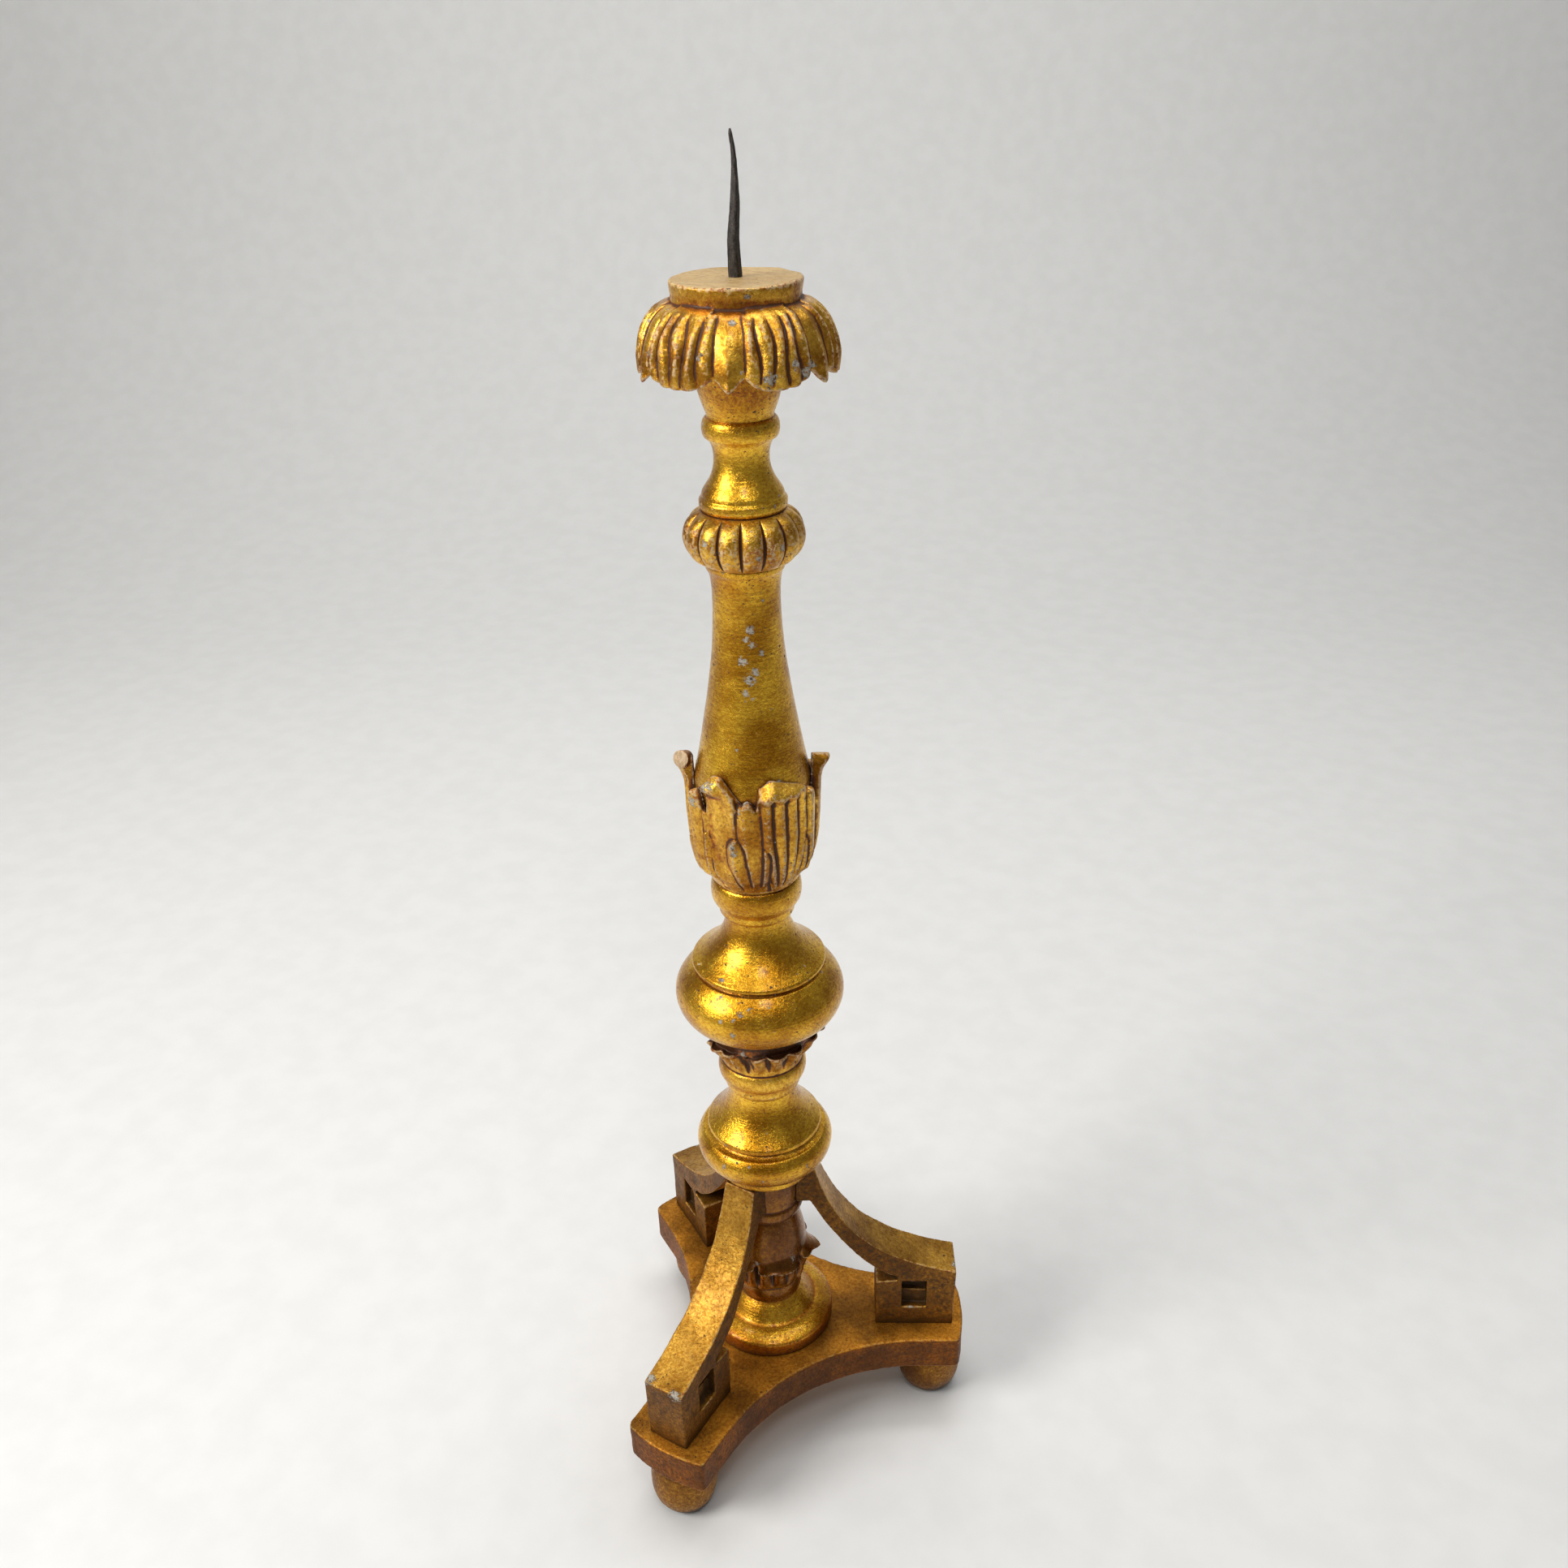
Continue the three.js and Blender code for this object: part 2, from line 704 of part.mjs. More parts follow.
// Leaf cup round the shaft: six large ribbed leaves, and six small ones lapped over their edges
function calyx() {
  const bore = bored(tenonRadius);
  const mouth = shaftBellyRadius + calyxMouthPlay;
  const path = profile(bore, 0);
  path.lineTo(calyxFoot, 0);
  path.quadraticCurveTo(calyxRadius - 4, calyxBelly - 14, calyxRadius - 1.5, calyxBelly);
  path.quadraticCurveTo(calyxRadius + 1, calyxHeight * 0.6, calyxRadius, calyxHeight);
  path.lineTo(mouth, calyxHeight);
  path.lineTo(mouth, calyxBelly + 22);
  path.lineTo(shaftSeatRadius + 2.5, calyxFloor);
  path.lineTo(bore, calyxFloor);
  path.lineTo(bore, 0);
  const largeHalf = 21; // half widths of the leaves in degrees
  const smallHalf = 12;
  const cup = carve(turned(path, 72, 3), (azimuth, radius, height) => {
    if (radius < calyxFoot - 1 || height < 1) return [radius, height];
    const off = Math.abs(fromLeaf(azimuth, frontLeg + calyxTurn, leafPitch));
    const fromSmall = leafPitch / 2 - off;
    const large = calyxHeight - (calyxHeight - leafNotchHeight) * (off / largeHalf) ** 2;
    const small = smallLeafHeight - (smallLeafHeight - leafNotchHeight) * (fromSmall / smallHalf) ** 2;
    const top = Math.max(large, small, leafNotchHeight - 6);
    const share = Math.max(0, (height - calyxBelly) / (calyxHeight - calyxBelly));
    const newHeight = height - share * (calyxHeight - top);
    const outside = radius > (mouth + calyxRadius) / 2 || height < calyxBelly;
    if (!outside) return [radius, newHeight];
    const up = smooth(height, 0, calyxBelly);
    const rib = Math.abs(Math.cos((off / largeHalf) * Math.PI * calyxRibs * 0.5)) - 1;
    const lap = 2.6 * (1 - (fromSmall / smallHalf) ** 2);
    const relief = fromSmall < smallHalf ? lap : calyxRibDepth * rib;
    const curl = calyxCurl * share ** 6 * Math.max(0, 1 - (off / largeHalf) ** 2);
    return [radius + relief * up + curl, newHeight];
  });
  const mesh = piece("acanthus_calyx", cup, gilt);
  mesh.position.z = calyxBase;
  return mesh;
}

function mainShaft() {
  const path = mortiseBelow(tenonRadius, tenonLength);
  path.lineTo(shaftSeatRadius, 0);
  path.quadraticCurveTo(shaftBellyRadius - 1, 30, shaftBellyRadius, shaftBellyHeight);
  path.quadraticCurveTo(
    shaftNeckRadius - 0.5,
    mix(shaftBellyHeight, shaftNeckHeight, 2 / 3),
    shaftNeckRadius,
    shaftNeckHeight,
  );
  path.quadraticCurveTo(shaftNeckRadius, shaftHeight - 8, shaftTopRadius - 1, shaftHeight - 5);
  path.lineTo(shaftTopRadius, shaftHeight);
  path.lineTo(upperTenonRadius, shaftHeight);
  path.lineTo(upperTenonRadius, shaftHeight + knopHeight + tenonLength);
  path.lineTo(0, shaftHeight + knopHeight + tenonLength);
  const mesh = piece("main_shaft", turned(path, 22, 3), gilt);
  mesh.position.z = shaftBase;
  return mesh;
}

function gadroonedKnop() {
  const bore = bored(upperTenonRadius);
  const edge = shaftTopRadius;
  const path = profile(bore, 0);
  path.lineTo(edge, 0);
  path.quadraticCurveTo(knopRadius - 1, knopHeight * 0.12, knopRadius, knopHeight * 0.5);
  path.quadraticCurveTo(knopRadius - 1, knopHeight * 0.86, edge + 3, knopHeight - 1);
  path.lineTo(edge, knopHeight);
  path.lineTo(bore, knopHeight);
  path.lineTo(bore, 0);
  const knop = carve(turned(path, knopLobes * 4, 3), (azimuth, radius, height) => {
    const out = smooth(radius, edge, knopRadius);
    const lobe = Math.abs(Math.cos((rad(azimuth - knopTurn) * knopLobes) / 2));
    return [radius - knopGroove * out * (1 - lobe) ** 1.4, height];
  });
  const mesh = piece("gadrooned_knop", knop, gilt);
  mesh.position.z = knopBase;
  return mesh;
}

function upperVase() {
  const path = mortiseBelow(upperTenonRadius, tenonLength);
  path.lineTo(vaseFootRadius - 2, 0);
  path.lineTo(vaseFootRadius, 3);
  path.lineTo(vaseFootRadius, vaseFootHeight - 1.5);
  path.lineTo(vaseBodyRadius, vaseFootHeight + 0.5);
  path.bezierCurveTo(
    vaseBodyRadius,
    vaseFootHeight + 9,
    vaseNeckRadius,
    mix(vaseFootHeight, vaseNeckHeight, 0.4),
    vaseNeckRadius,
    vaseNeckHeight,
  );
  path.quadraticCurveTo(vaseNeckRadius, vaseHeight - 5, vaseLipRadius, vaseHeight);
  path.lineTo(upperTenonRadius, vaseHeight);
  path.lineTo(upperTenonRadius, vaseHeight + tenonLength);
  path.lineTo(0, vaseHeight + tenonLength);
  const mesh = piece("upper_vase", turned(path, 20, 3), gilt);
  mesh.position.z = vaseBase;
  return mesh;
}

// ---------------------------------------------------------------- pan and pricket

function panCup() {
  const path = mortiseBelow(upperTenonRadius, tenonLength);
  path.lineTo(vaseLipRadius + 0.5, 0);
  bead(path, neckRingRadius, panCupRadius, neckRingHeight);
  path.quadraticCurveTo(panCupRadius, neckRingHeight + 3, panCupRadius + 1.5, neckRingHeight + 6);
  path.quadraticCurveTo(panCupMouth - 4, neckRingHeight + 24, panCupMouth, panCupHeight);
  path.lineTo(panTenonRadius, panCupHeight);
  path.lineTo(panTenonRadius, panCupHeight + panTenonLength);
  path.lineTo(0, panCupHeight + panTenonLength);
  const hole = spikeBlank(fit);
  hole.translate(0, 0, panTop - panCupBase);
  const mesh = piece("pan_cup", cut(turned(path, 20, 2), hole), gilt);
  mesh.position.z = panCupBase;
  return mesh;
}

// Drip pan with a plain collar and a skirt of six broad ribbed leaves and six narrow ones
function dripPan() {
  const panHeight = skirtDrop + panCollarHeight;
  const lip = skirtRadius - 2.5;
  const path = profile(0, panSeatHeight + panTenonLength + tenonPlay);
  path.lineTo(bored(panTenonRadius), panSeatHeight + panTenonLength + tenonPlay);
  path.lineTo(bored(panTenonRadius), panSeatHeight);
  path.lineTo(panCupMouth + 3, panSeatHeight);
  path.quadraticCurveTo(lip - skirtWall - 4, panSeatHeight - 3, lip - skirtWall, 1.5);
  path.lineTo(lip, 0);
  path.lineTo(skirtRadius, skirtBelly);
  path.bezierCurveTo(
    skirtRadius,
    skirtDrop * 0.65,
    mix(panTopRadius, skirtRadius, 0.55),
    skirtDrop * 0.9,
    panTopRadius + 0.5,
    skirtDrop,
  );
  path.lineTo(panWaistRadius, skirtDrop + 4);
  path.lineTo(panTopRadius, panHeight - 1.5);
  path.lineTo(panTopRadius - 1, panHeight);
  path.lineTo(0, panHeight);
  const pan = carve(turned(path, 72, 3), (azimuth, radius, height) => {
    if (height > skirtDrop - 1 || radius < panCupMouth + 5) return [radius, height];
    const off = Math.abs(fromLeaf(azimuth, frontLeg + skirtTurn, leafPitch));
    const ribPitch = leafPitch / (broadLeafRibs + 1);
    const rib = 0.5 + 0.5 * Math.cos((off / ribPitch) * 2 * Math.PI);
    const broad = off < (ribPitch * broadLeafRibs) / 2;
    const edge = broad ? off / ((ribPitch * broadLeafRibs) / 2) : (leafPitch / 2 - off) / (ribPitch / 2);
    const lift = leafScallop * Math.abs(edge) ** 2;
    const low = 1 - smooth(height, 0, skirtDrop * 0.5);
    const outside = radius > skirtRadius - 3 || height > 28;
    const depth = skirtGroove * smooth(radius, panTopRadius, skirtRadius - 8);
    return [outside ? radius - depth * (1 - rib) : radius, height + lift * low];
  });
  const hole = spikeBlank(fit);
  hole.translate(0, 0, panHeight);
  const mesh = piece("drip_pan", cut(pan, hole), gilt);
  mesh.position.z = panLip;
  return mesh;
}

// Square bar with its top face at height 0, as wide as the tang there, tapering down
function spikeBlank(grow) {
  const corner = Math.SQRT2 / 2;
  const length = spikeTangLength + 2 * grow + tenonPlay;
  const bar = new THREE.CylinderGeometry(
    (spikeSide + 2 * grow) * corner,
    (spikeTangSide + 2 * grow) * corner,
    length,
    4,
  );
  bar.rotateX(Math.PI / 2);
  bar.rotateZ(rad(45 + spikeTwist));
  bar.translate(0, 0, 0.5 - length / 2);
  return bar;
}

// Forged pricket: a square tang, then a blade that tapers, leans a little and ends blunt
function pricketSpike() {
  const stations = [
    { height: -spikeTangLength, side: spikeTangSide, shift: 0 },
    { height: 0, side: spikeSide, shift: 0 },
    { height: spikeHeight * 0.27, side: spikeSide * 0.86, shift: -0.35 },
    { height: spikeHeight * 0.5, side: spikeSide * 0.72, shift: 0.7 },
    { height: spikeHeight * 0.72, side: spikeSide * 0.46, shift: 1 },
    { height: spikeHeight * 0.85, side: spikeSide * 0.36, shift: 0.8 },
    { height: spikeHeight * 0.97, side: spikeTipSide, shift: -0.2 },
    { height: spikeHeight, side: spikeTipSide * 0.5, shift: -0.35 },
  ];
  const bar = new THREE.CylinderGeometry(1, 1, 1, 4, stations.length - 1);
  bar.rotateX(Math.PI / 2);
  bar.rotateZ(rad(45 + spikeTwist));
  const points = bar.attributes.position;
  for (let i = 0; i < points.count; i += 1) {
    const station = stations[Math.round((points.getZ(i) + 0.5) * (stations.length - 1))];
    const scale = (station.side * Math.SQRT2) / 2;
    points.setXYZ(
      i,
      points.getX(i) * scale + station.shift * spikeLean * Math.cos(rad(spikeLeanWay)),
      points.getY(i) * scale + station.shift * spikeLean * Math.sin(rad(spikeLeanWay)),
      station.height,
    );
  }
  const mesh = piece("pricket_spike", bar, metal);
  mesh.position.z = panTop;
  return mesh;
}

// ---------------------------------------------------------------- assembly

const stand = new THREE.Group();
stand.add(basePlate(), footDisc(), lowerStem(), lowerBulb(), leafCup(), upperBulb());
stand.add(collarRing(), calyx(), mainShaft(), gadroonedKnop(), upperVase());
stand.add(panCup(), dripPan(), pricketSpike());

const sides = ["front", "right", "left"];
for (let k = 0; k < legCount; k += 1) {
  const corner = new THREE.Group();
  corner.rotation.z = rad(frontLeg + (k * 360) / legCount);
  corner.add(scrollLeg(`${sides[k]}_leg`), bunFoot(`${sides[k]}_foot`));
  corner.add(basePeg(`${sides[k]}_base_peg`));
  corner.add(piece(`${sides[k]}_head_peg`, headPegBar(headPegRadius, headPegLength), bareWood));
  stand.add(corner);
}

// The origin lies on the floor under the middle of the base plate's outline
const outline = new THREE.Box3().setFromObject(stand.getObjectByName("base_plate"));
const middle = outline.getCenter(new THREE.Vector3());
stand.position.set(-middle.x, -middle.y, 0);

const torchere = new THREE.Group();
torchere.add(stand);

export default torchere;
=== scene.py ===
import math

import bpy
import numpy as np
from mathutils import Matrix, Vector


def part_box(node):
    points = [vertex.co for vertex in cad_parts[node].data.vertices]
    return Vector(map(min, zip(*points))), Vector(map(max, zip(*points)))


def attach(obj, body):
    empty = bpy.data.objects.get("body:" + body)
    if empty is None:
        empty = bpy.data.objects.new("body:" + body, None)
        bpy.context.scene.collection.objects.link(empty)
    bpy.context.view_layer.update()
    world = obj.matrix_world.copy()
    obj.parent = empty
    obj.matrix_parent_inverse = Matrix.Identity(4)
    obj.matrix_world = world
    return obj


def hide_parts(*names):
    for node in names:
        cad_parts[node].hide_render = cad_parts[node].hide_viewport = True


# A carved and water-gilded torchere. Lengths are in millimetres from the column's axis and the
# floor until a piece is made, and in metres in the scene. Azimuths are in degrees; the front leg
# is at -90.

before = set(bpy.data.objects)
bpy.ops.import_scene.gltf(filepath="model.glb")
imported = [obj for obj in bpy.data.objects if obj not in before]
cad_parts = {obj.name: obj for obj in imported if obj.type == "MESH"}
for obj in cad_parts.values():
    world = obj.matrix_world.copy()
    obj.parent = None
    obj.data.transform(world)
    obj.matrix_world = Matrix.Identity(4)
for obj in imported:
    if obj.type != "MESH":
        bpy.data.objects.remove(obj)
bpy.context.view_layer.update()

MM = 0.001
disc_low, disc_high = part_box("foot_disc")
AXIS = Vector(((disc_low.x + disc_high.x) / 2, (disc_low.y + disc_high.y) / 2, 0))
LEG_AZIMUTHS = {"front": -90, "right": 30, "left": 150}

# Levels of the floor side of each piece
PLATE_BASE = 68.3
PLATE_TOP = 106.8
DISC_BASE = 107.1
STEM_BASE = 147.4
LOWER_BULB_BASE = 318.2
CUP_BASE = 419.0
UPPER_BULB_BASE = 505.3
COLLAR_BASE = 617.1
CALYX_BASE = 659.4
SHAFT_BASE = 671.7
KNOP_BASE = 954.0
VASE_BASE = 997.8
PAN_CUP_BASE = 1055.1
PAN_LIP = 1105.4
PAN_TOP = 1173.5

SEAT = 0.3  # gap at a glued seat
BLOCK_TOP = PLATE_TOP + SEAT + 73.5  # top of the square block at a leg's foot


# ------------------------------------------------------------------ camera, floor and lamps

def place_camera():
    lens = bpy.data.cameras.new("studio_camera")
    lens.sensor_width = 36
    lens.lens = 33.598
    camera = bpy.data.objects.new("studio_camera", lens)
    heading = math.radians(121.664)
    pitch = math.radians(27.853)
    roll = math.radians(-1.3224)
    ahead = Vector((math.cos(heading), math.sin(heading), 0))
    right = Vector((math.sin(heading), -math.cos(heading), 0))
    forward = ahead * math.cos(pitch) - Vector((0, 0, math.sin(pitch)))
    up = ahead * math.sin(pitch) + Vector((0, 0, math.cos(pitch)))
    side = right * math.cos(roll) + up * math.sin(roll)
    top = up * math.cos(roll) - right * math.sin(roll)
    turn = Matrix((side, top, -forward)).transposed().to_4x4()
    place = Vector((0.6199, -0.9531, 1.3475)) + AXIS
    camera.matrix_world = Matrix.Translation(place) @ turn
    bpy.context.scene.collection.objects.link(camera)
    bpy.context.scene.camera = camera


def soft_lamp(name, place, aim, size, power, colour=(1, 1, 1)):
    light = bpy.data.lights.new(name, "AREA")
    light.shape = "RECTANGLE"
    light.size, light.size_y = size
    light.energy = power
    light.color = colour
    lamp = bpy.data.objects.new(name, light)
    lamp.location = Vector(place)
    lamp.rotation_euler = (Vector(aim) - Vector(place)).to_track_quat("-Z", "Y").to_euler()
    bpy.context.scene.collection.objects.link(lamp)


# ------------------------------------------------------------------ turning

def blend(low, high, share):
    return low + (high - low) * share


def ease(value, low, high):
    share = np.clip((value - low) / (high - low), 0, 1)
    return share * share * (3 - 2 * share)


def line(path, *places):
    path.extend(places)


def curve(path, *pulls):
    """Bezier curve from the path's end; the last pull is where it ends."""
    stops = [path[-1], *pulls]
    steps = 24
    for k in range(1, steps + 1):
        left = [np.array(stop, float) for stop in stops]
        while len(left) > 1:
            left = [blend(a, b, k / steps) for a, b in zip(left, left[1:])]
        path.append(tuple(left[0]))


ROUND = 0.552  # pull of a Bezier quarter that comes nearest to a circle's


def quarter_out(path, radius, height):
    start_radius, start_height = path[-1]
    curve(
        path,
        (blend(start_radius, radius, ROUND), start_height),
        (radius, blend(height, start_height, ROUND)),
        (radius, height),
    )


def quarter_in(path, radius, height):
    start_radius, start_height = path[-1]
    curve(
        path,
        (start_radius, blend(start_height, height, ROUND)),
        (blend(radius, start_radius, ROUND), height),
        (radius, height),
    )


def bead(path, crown, radius, height):
    middle = (path[-1][1] + height) / 2
    quarter_out(path, crown, middle)
    quarter_in(path, radius, height)


def evened(path, step):
    """The path's points with none further apart than the step, and its corners eased."""
    points = [np.array(path[0], float)]
    for end in path[1:]:
        end = np.array(end, float)
        gap = np.linalg.norm(end - points[-1])
        if gap < 1e-6:
            continue
        start = points[-1]
        for k in range(1, math.ceil(gap / step) + 1):
            points.append(blend(start, end, k / math.ceil(gap / step)))
    points = np.array(points)
    for _ in range(2):
        points[1:-1] = points[1:-1] / 2 + (points[:-2] + points[2:]) / 4
    return points


def around(segments):
    """Azimuths of a ring's points, as one row."""
    return np.linspace(0, 360, segments, endpoint=False)[None, :]


def rows_of(path, segments, step=1.0):
    points = evened(path, step)
    ones = np.ones((1, segments))
    return points[:, :1] * ones, points[:, 1:] * ones


def spun(*blocks):
    """A closed skin round the axis, through blocks of rows of radius and height."""
    radius, height = (np.concatenate([block[c] for block in blocks]) for c in range(2))
    rows, segments = radius.shape
    angle = np.radians(around(segments))
    ring = np.stack([radius * np.cos(angle), radius * np.sin(angle), height], -1).reshape(-1, 3)
    ends = [[0, 0, height[0].mean()], [0, 0, height[-1].mean()]]
    faces = []
    last = (rows - 1) * segments
    for j in range(segments):
        k = (j + 1) % segments
        faces.append((len(ring), k, j))
        faces.append((len(ring) + 1, last + j, last + k))
    for i in range(rows - 1):
        low = i * segments
        high = low + segments
        for j in range(segments):
            k = (j + 1) % segments
            faces.append((low + j, low + k, high + k, high + j))
    return np.concatenate([ring, ends]), faces


def turned(path, segments, step=1.0, shape=None):
    """A solid of revolution whose path starts and ends on the axis."""
    radius, height = (rows[1:-1] for rows in rows_of(path, segments, step))
    if shape is not None:
        radius, height = shape(around(segments) * np.ones_like(radius), radius, height)
    return spun((radius, height))


# ------------------------------------------------------------------ carving

def through(stops, count):
    """Evenly spaced points on a smooth curve through the stops."""
    stops = np.array(stops, float)
    before = np.vstack([2 * stops[0] - stops[1], stops[:-1]])
    after = np.vstack([stops[1:], 2 * stops[-1] - stops[-2]])
    slope = (after - before) / 2
    share = np.linspace(0, 1, 20, endpoint=False)[:, None]
    pieces = []
    for k in range(len(stops) - 1):
        pieces.append(
            (2 * share**3 - 3 * share**2 + 1) * stops[k]
            + (share**3 - 2 * share**2 + share) * slope[k]
            + (3 * share**2 - 2 * share**3) * stops[k + 1]
            + (share**3 - share**2) * slope[k + 1]
        )
    fine = np.vstack([*pieces, stops[-1:]])
    run = np.concatenate([[0], np.cumsum(np.linalg.norm(np.diff(fine, axis=0), axis=1))])
    places = np.linspace(0, run[-1], count)
    return np.stack([np.interp(places, run, fine[:, c]) for c in range(2)], 1)


def off_from(azimuth, middle):
    """Degrees from a middle, the short way round."""
    return (azimuth - middle + 180) % 360 - 180


def carved(spine, segments, rows, reach, lift):
    """Rows of a carved skin: reach(azimuth) is the share of the spine that it covers, and
    lift(azimuth, v, height) raises it along the spine's normal, v being its share of the spine."""
    way = through(spine, 240)
    heading = np.gradient(way, axis=0)
    heading /= np.linalg.norm(heading, axis=1)[:, None]
    outward = np.stack([heading[:, 1], -heading[:, 0]], 1)
    if outward[:, 0].sum() < 0:
        outward = -outward
    azimuth = around(segments) * np.ones((rows, 1))
    v = np.linspace(0, 1, rows)[:, None] * reach(azimuth)
    share = np.linspace(0, 1, len(way))
    radius, height = (np.interp(v, share, way[:, c]) for c in range(2))
    out_radius, out_height = (np.interp(v, share, outward[:, c]) for c in range(2))
    up = lift(azimuth, v, height)
    return radius + out_radius * up, height + out_height * up


def bridge(block, radius, height, rows=6, bulge=0.0):
    """Rows from a block's last row over to a given radius and height."""
    share = np.linspace(0, 1, rows + 2)[1:, None]
    arch = 4 * bulge * share * (1 - share)
    return blend(block[0][-1], radius, share), blend(block[1][-1], height, share) + arch


def leaf_share(azimuth, edges):
    """Where each azimuth lies in its leaf, -1 to 1, for leaves that meet at the given edges."""
    edges = sorted(edge % 360 for edge in edges)
    edges = np.array([edges[-1] - 360, *edges, edges[0] + 360])
    spot = np.mod(azimuth, 360)
    index = np.clip(np.searchsorted(edges, spot, side="right"), 1, len(edges) - 1)
    low, high = edges[index - 1], edges[index]
    return 2 * (spot - low) / (high - low) - 1


def pleats(u, count):
    """Convex strips side by side, each highest past its middle: 0 in the quirks, 1 on top."""
    crest = 0.62
    spot = (u + 1) / 2 * count
    spot = spot - np.floor(spot)
    rise = np.sin(math.pi / 2 * np.clip(spot / crest, 0, 1)) ** 1.3
    fall = np.cos(math.pi / 2 * np.clip((spot - crest) / (1 - crest), 0, 1))
    return np.where(spot < crest, rise, fall)


def lobe(azimuth, height, middle, top, half, crown):
    """How far inside a round-topped lobe each point lies, in mm, and its place across, -1 to 1."""
    over = np.clip((height - top + crown) / crown, 0, 1)
    wide = half * np.sqrt(np.clip(1 - over**2, 0, 1)) + 1e-3
    off = off_from(azimuth, middle)
    inside = np.minimum(wide - np.abs(off), top - height)
    return inside, np.clip(off / wide, -1, 1)


def joined(*lumps):
    """Several lumps of points and faces as one."""
    points = []
    faces = []
    count = 0
    for lump_points, lump_faces in lumps:
        points.append(np.asarray(lump_points, float))
        faces += [tuple(index + count for index in face) for face in lump_faces]
        count += len(lump_points)
    return np.concatenate(points), faces


def hand_waver(points, size, depth, seed):
    """The unevenness of hand work: a few crossed waves of about the given size."""
    draw = np.random.default_rng(seed)
    total = np.zeros(len(points))
    waves = 7
    for _ in range(waves):
        heading = draw.normal(size=3)
        heading /= np.linalg.norm(heading)
        length = size * draw.uniform(0.7, 1.6)
        total += np.sin(points @ heading * 2 * math.pi / length + draw.uniform(0, 2 * math.pi))
    return depth * total / math.sqrt(waves)


# ------------------------------------------------------------------ pieces

def mesh_from(name, points, faces):
    mesh = bpy.data.meshes.new(name)
    mesh.from_pydata((np.asarray(points) * MM).tolist(), [], faces)
    mesh.validate()
    mesh.update()
    return mesh


def read_points(mesh, what="vertices", key="co"):
    rows = np.empty(len(getattr(mesh, what)) * 3)
    getattr(mesh, what).foreach_get(key, rows)
    return rows.reshape(-1, 3)


def fused(name, lump, grain, cutters=(), rounds=3):
    """One skin round all the lumps, less the cutters, with its arrises softened."""
    holder = bpy.data.objects.new(name, mesh_from(name, *lump))
    bpy.context.scene.collection.objects.link(holder)
    spent = [holder]
    for k, cutter in enumerate(cutters):
        tool = bpy.data.objects.new(f"{name}_cutter_{k}", mesh_from(f"{name}_cutter_{k}", *cutter))
        bpy.context.scene.collection.objects.link(tool)
        spent.append(tool)
        cut = holder.modifiers.new("cut", "BOOLEAN")
        cut.operation = "DIFFERENCE"
        cut.object = tool
    remesh = holder.modifiers.new("skin", "REMESH")
    remesh.mode = "VOXEL"
    remesh.voxel_size = grain * MM
    soften = holder.modifiers.new("soften", "SMOOTH")
    soften.factor = 0.5
    soften.iterations = rounds
    bpy.context.view_layer.update()
    graph = bpy.context.evaluated_depsgraph_get()
    mesh = bpy.data.meshes.new_from_object(holder.evaluated_get(graph))
    for thing in spent:
        data = thing.data
        bpy.data.objects.remove(thing)
        bpy.data.meshes.remove(data)
    mesh.name = name
    return mesh


def mark_form(mesh, reach):
    """Keeps on each point how far it lies in a hollow or on a ridge, for the gilding's wear, grime
    and painted shade.
    """
    points = read_points(mesh) / MM
    normals = read_points(mesh, "vertex_normals", "vector")
    ends = np.empty(len(mesh.edges) * 2, int)
    mesh.edges.foreach_get("vertices", ends)
    ends = ends.reshape(-1, 2)
    one = np.concatenate([ends[:, 0], ends[:, 1]])
    other = np.concatenate([ends[:, 1], ends[:, 0]])
    count = np.maximum(np.bincount(one, minlength=len(points)), 1)
    spacing = np.mean(np.linalg.norm(points[ends[:, 0]] - points[ends[:, 1]], axis=1))

    def spread(values, rounds):
        for _ in range(rounds):
            near = [np.bincount(one, values[other, c], len(points)) / count for c in range(3)]
            values = values / 2 + np.stack(near, 1) / 2
        return values

    for key, scale in (("fine", reach), ("broad", 3 * reach)):
        rounds = int(np.clip((scale / spacing) ** 2, 2, 60))
        depth = ((spread(points, rounds) - points) * normals).sum(1)
        for name, value in ((f"hollow_{key}", depth), (f"ridge_{key}", -depth)):
            keep(mesh, name, np.clip(value / scale * 4, 0, 1))


def patches(base, *rows):
    """Bare patches, each an azimuth, a height over the base, a radius and a size."""
    rows = np.array(rows, float)
    angle = np.radians(rows[:, 0])
    places = np.stack(
        [rows[:, 2] * np.cos(angle), rows[:, 2] * np.sin(angle), rows[:, 1] + base], 1
    )
    return places, rows[:, 3]


def keep(mesh, name, values):
    """Stores one value a point, for the materials to read."""
    layer = mesh.attributes.new(name, "FLOAT", "POINT")
    layer.data.foreach_set("value", np.asarray(values, np.float32))


def mark_bare(mesh, points, spots, edge):
    """Keeps on each point how far inside a bare patch it lies: a half on the patch's rim."""
    total = np.zeros(len(points))
    if spots is not None:
        for place, size in zip(*spots):
            gap = np.linalg.norm(points - place, axis=1)
            total = np.maximum(total, 1 - gap / (2 * size))
    if edge is not None:
        total = np.maximum(total, edge(points))
    keep(mesh, "bare", total)


def sunk(base, hull, start, full, amount=0.8, top=1e3):
    """Painted shade that thickens with the depth under a hull of (radius, height over the base)."""
    far, high = (np.array(row, float) for row in zip(*sorted(hull, key=lambda stop: stop[1])))

    def share(points, _):
        height = points[:, 2] - base
        depth = np.interp(height, high, far) - np.hypot(points[:, 0], points[:, 1])
        return amount * ease(depth, start, full) * ease(height, top + 3, top - 3)

    return share


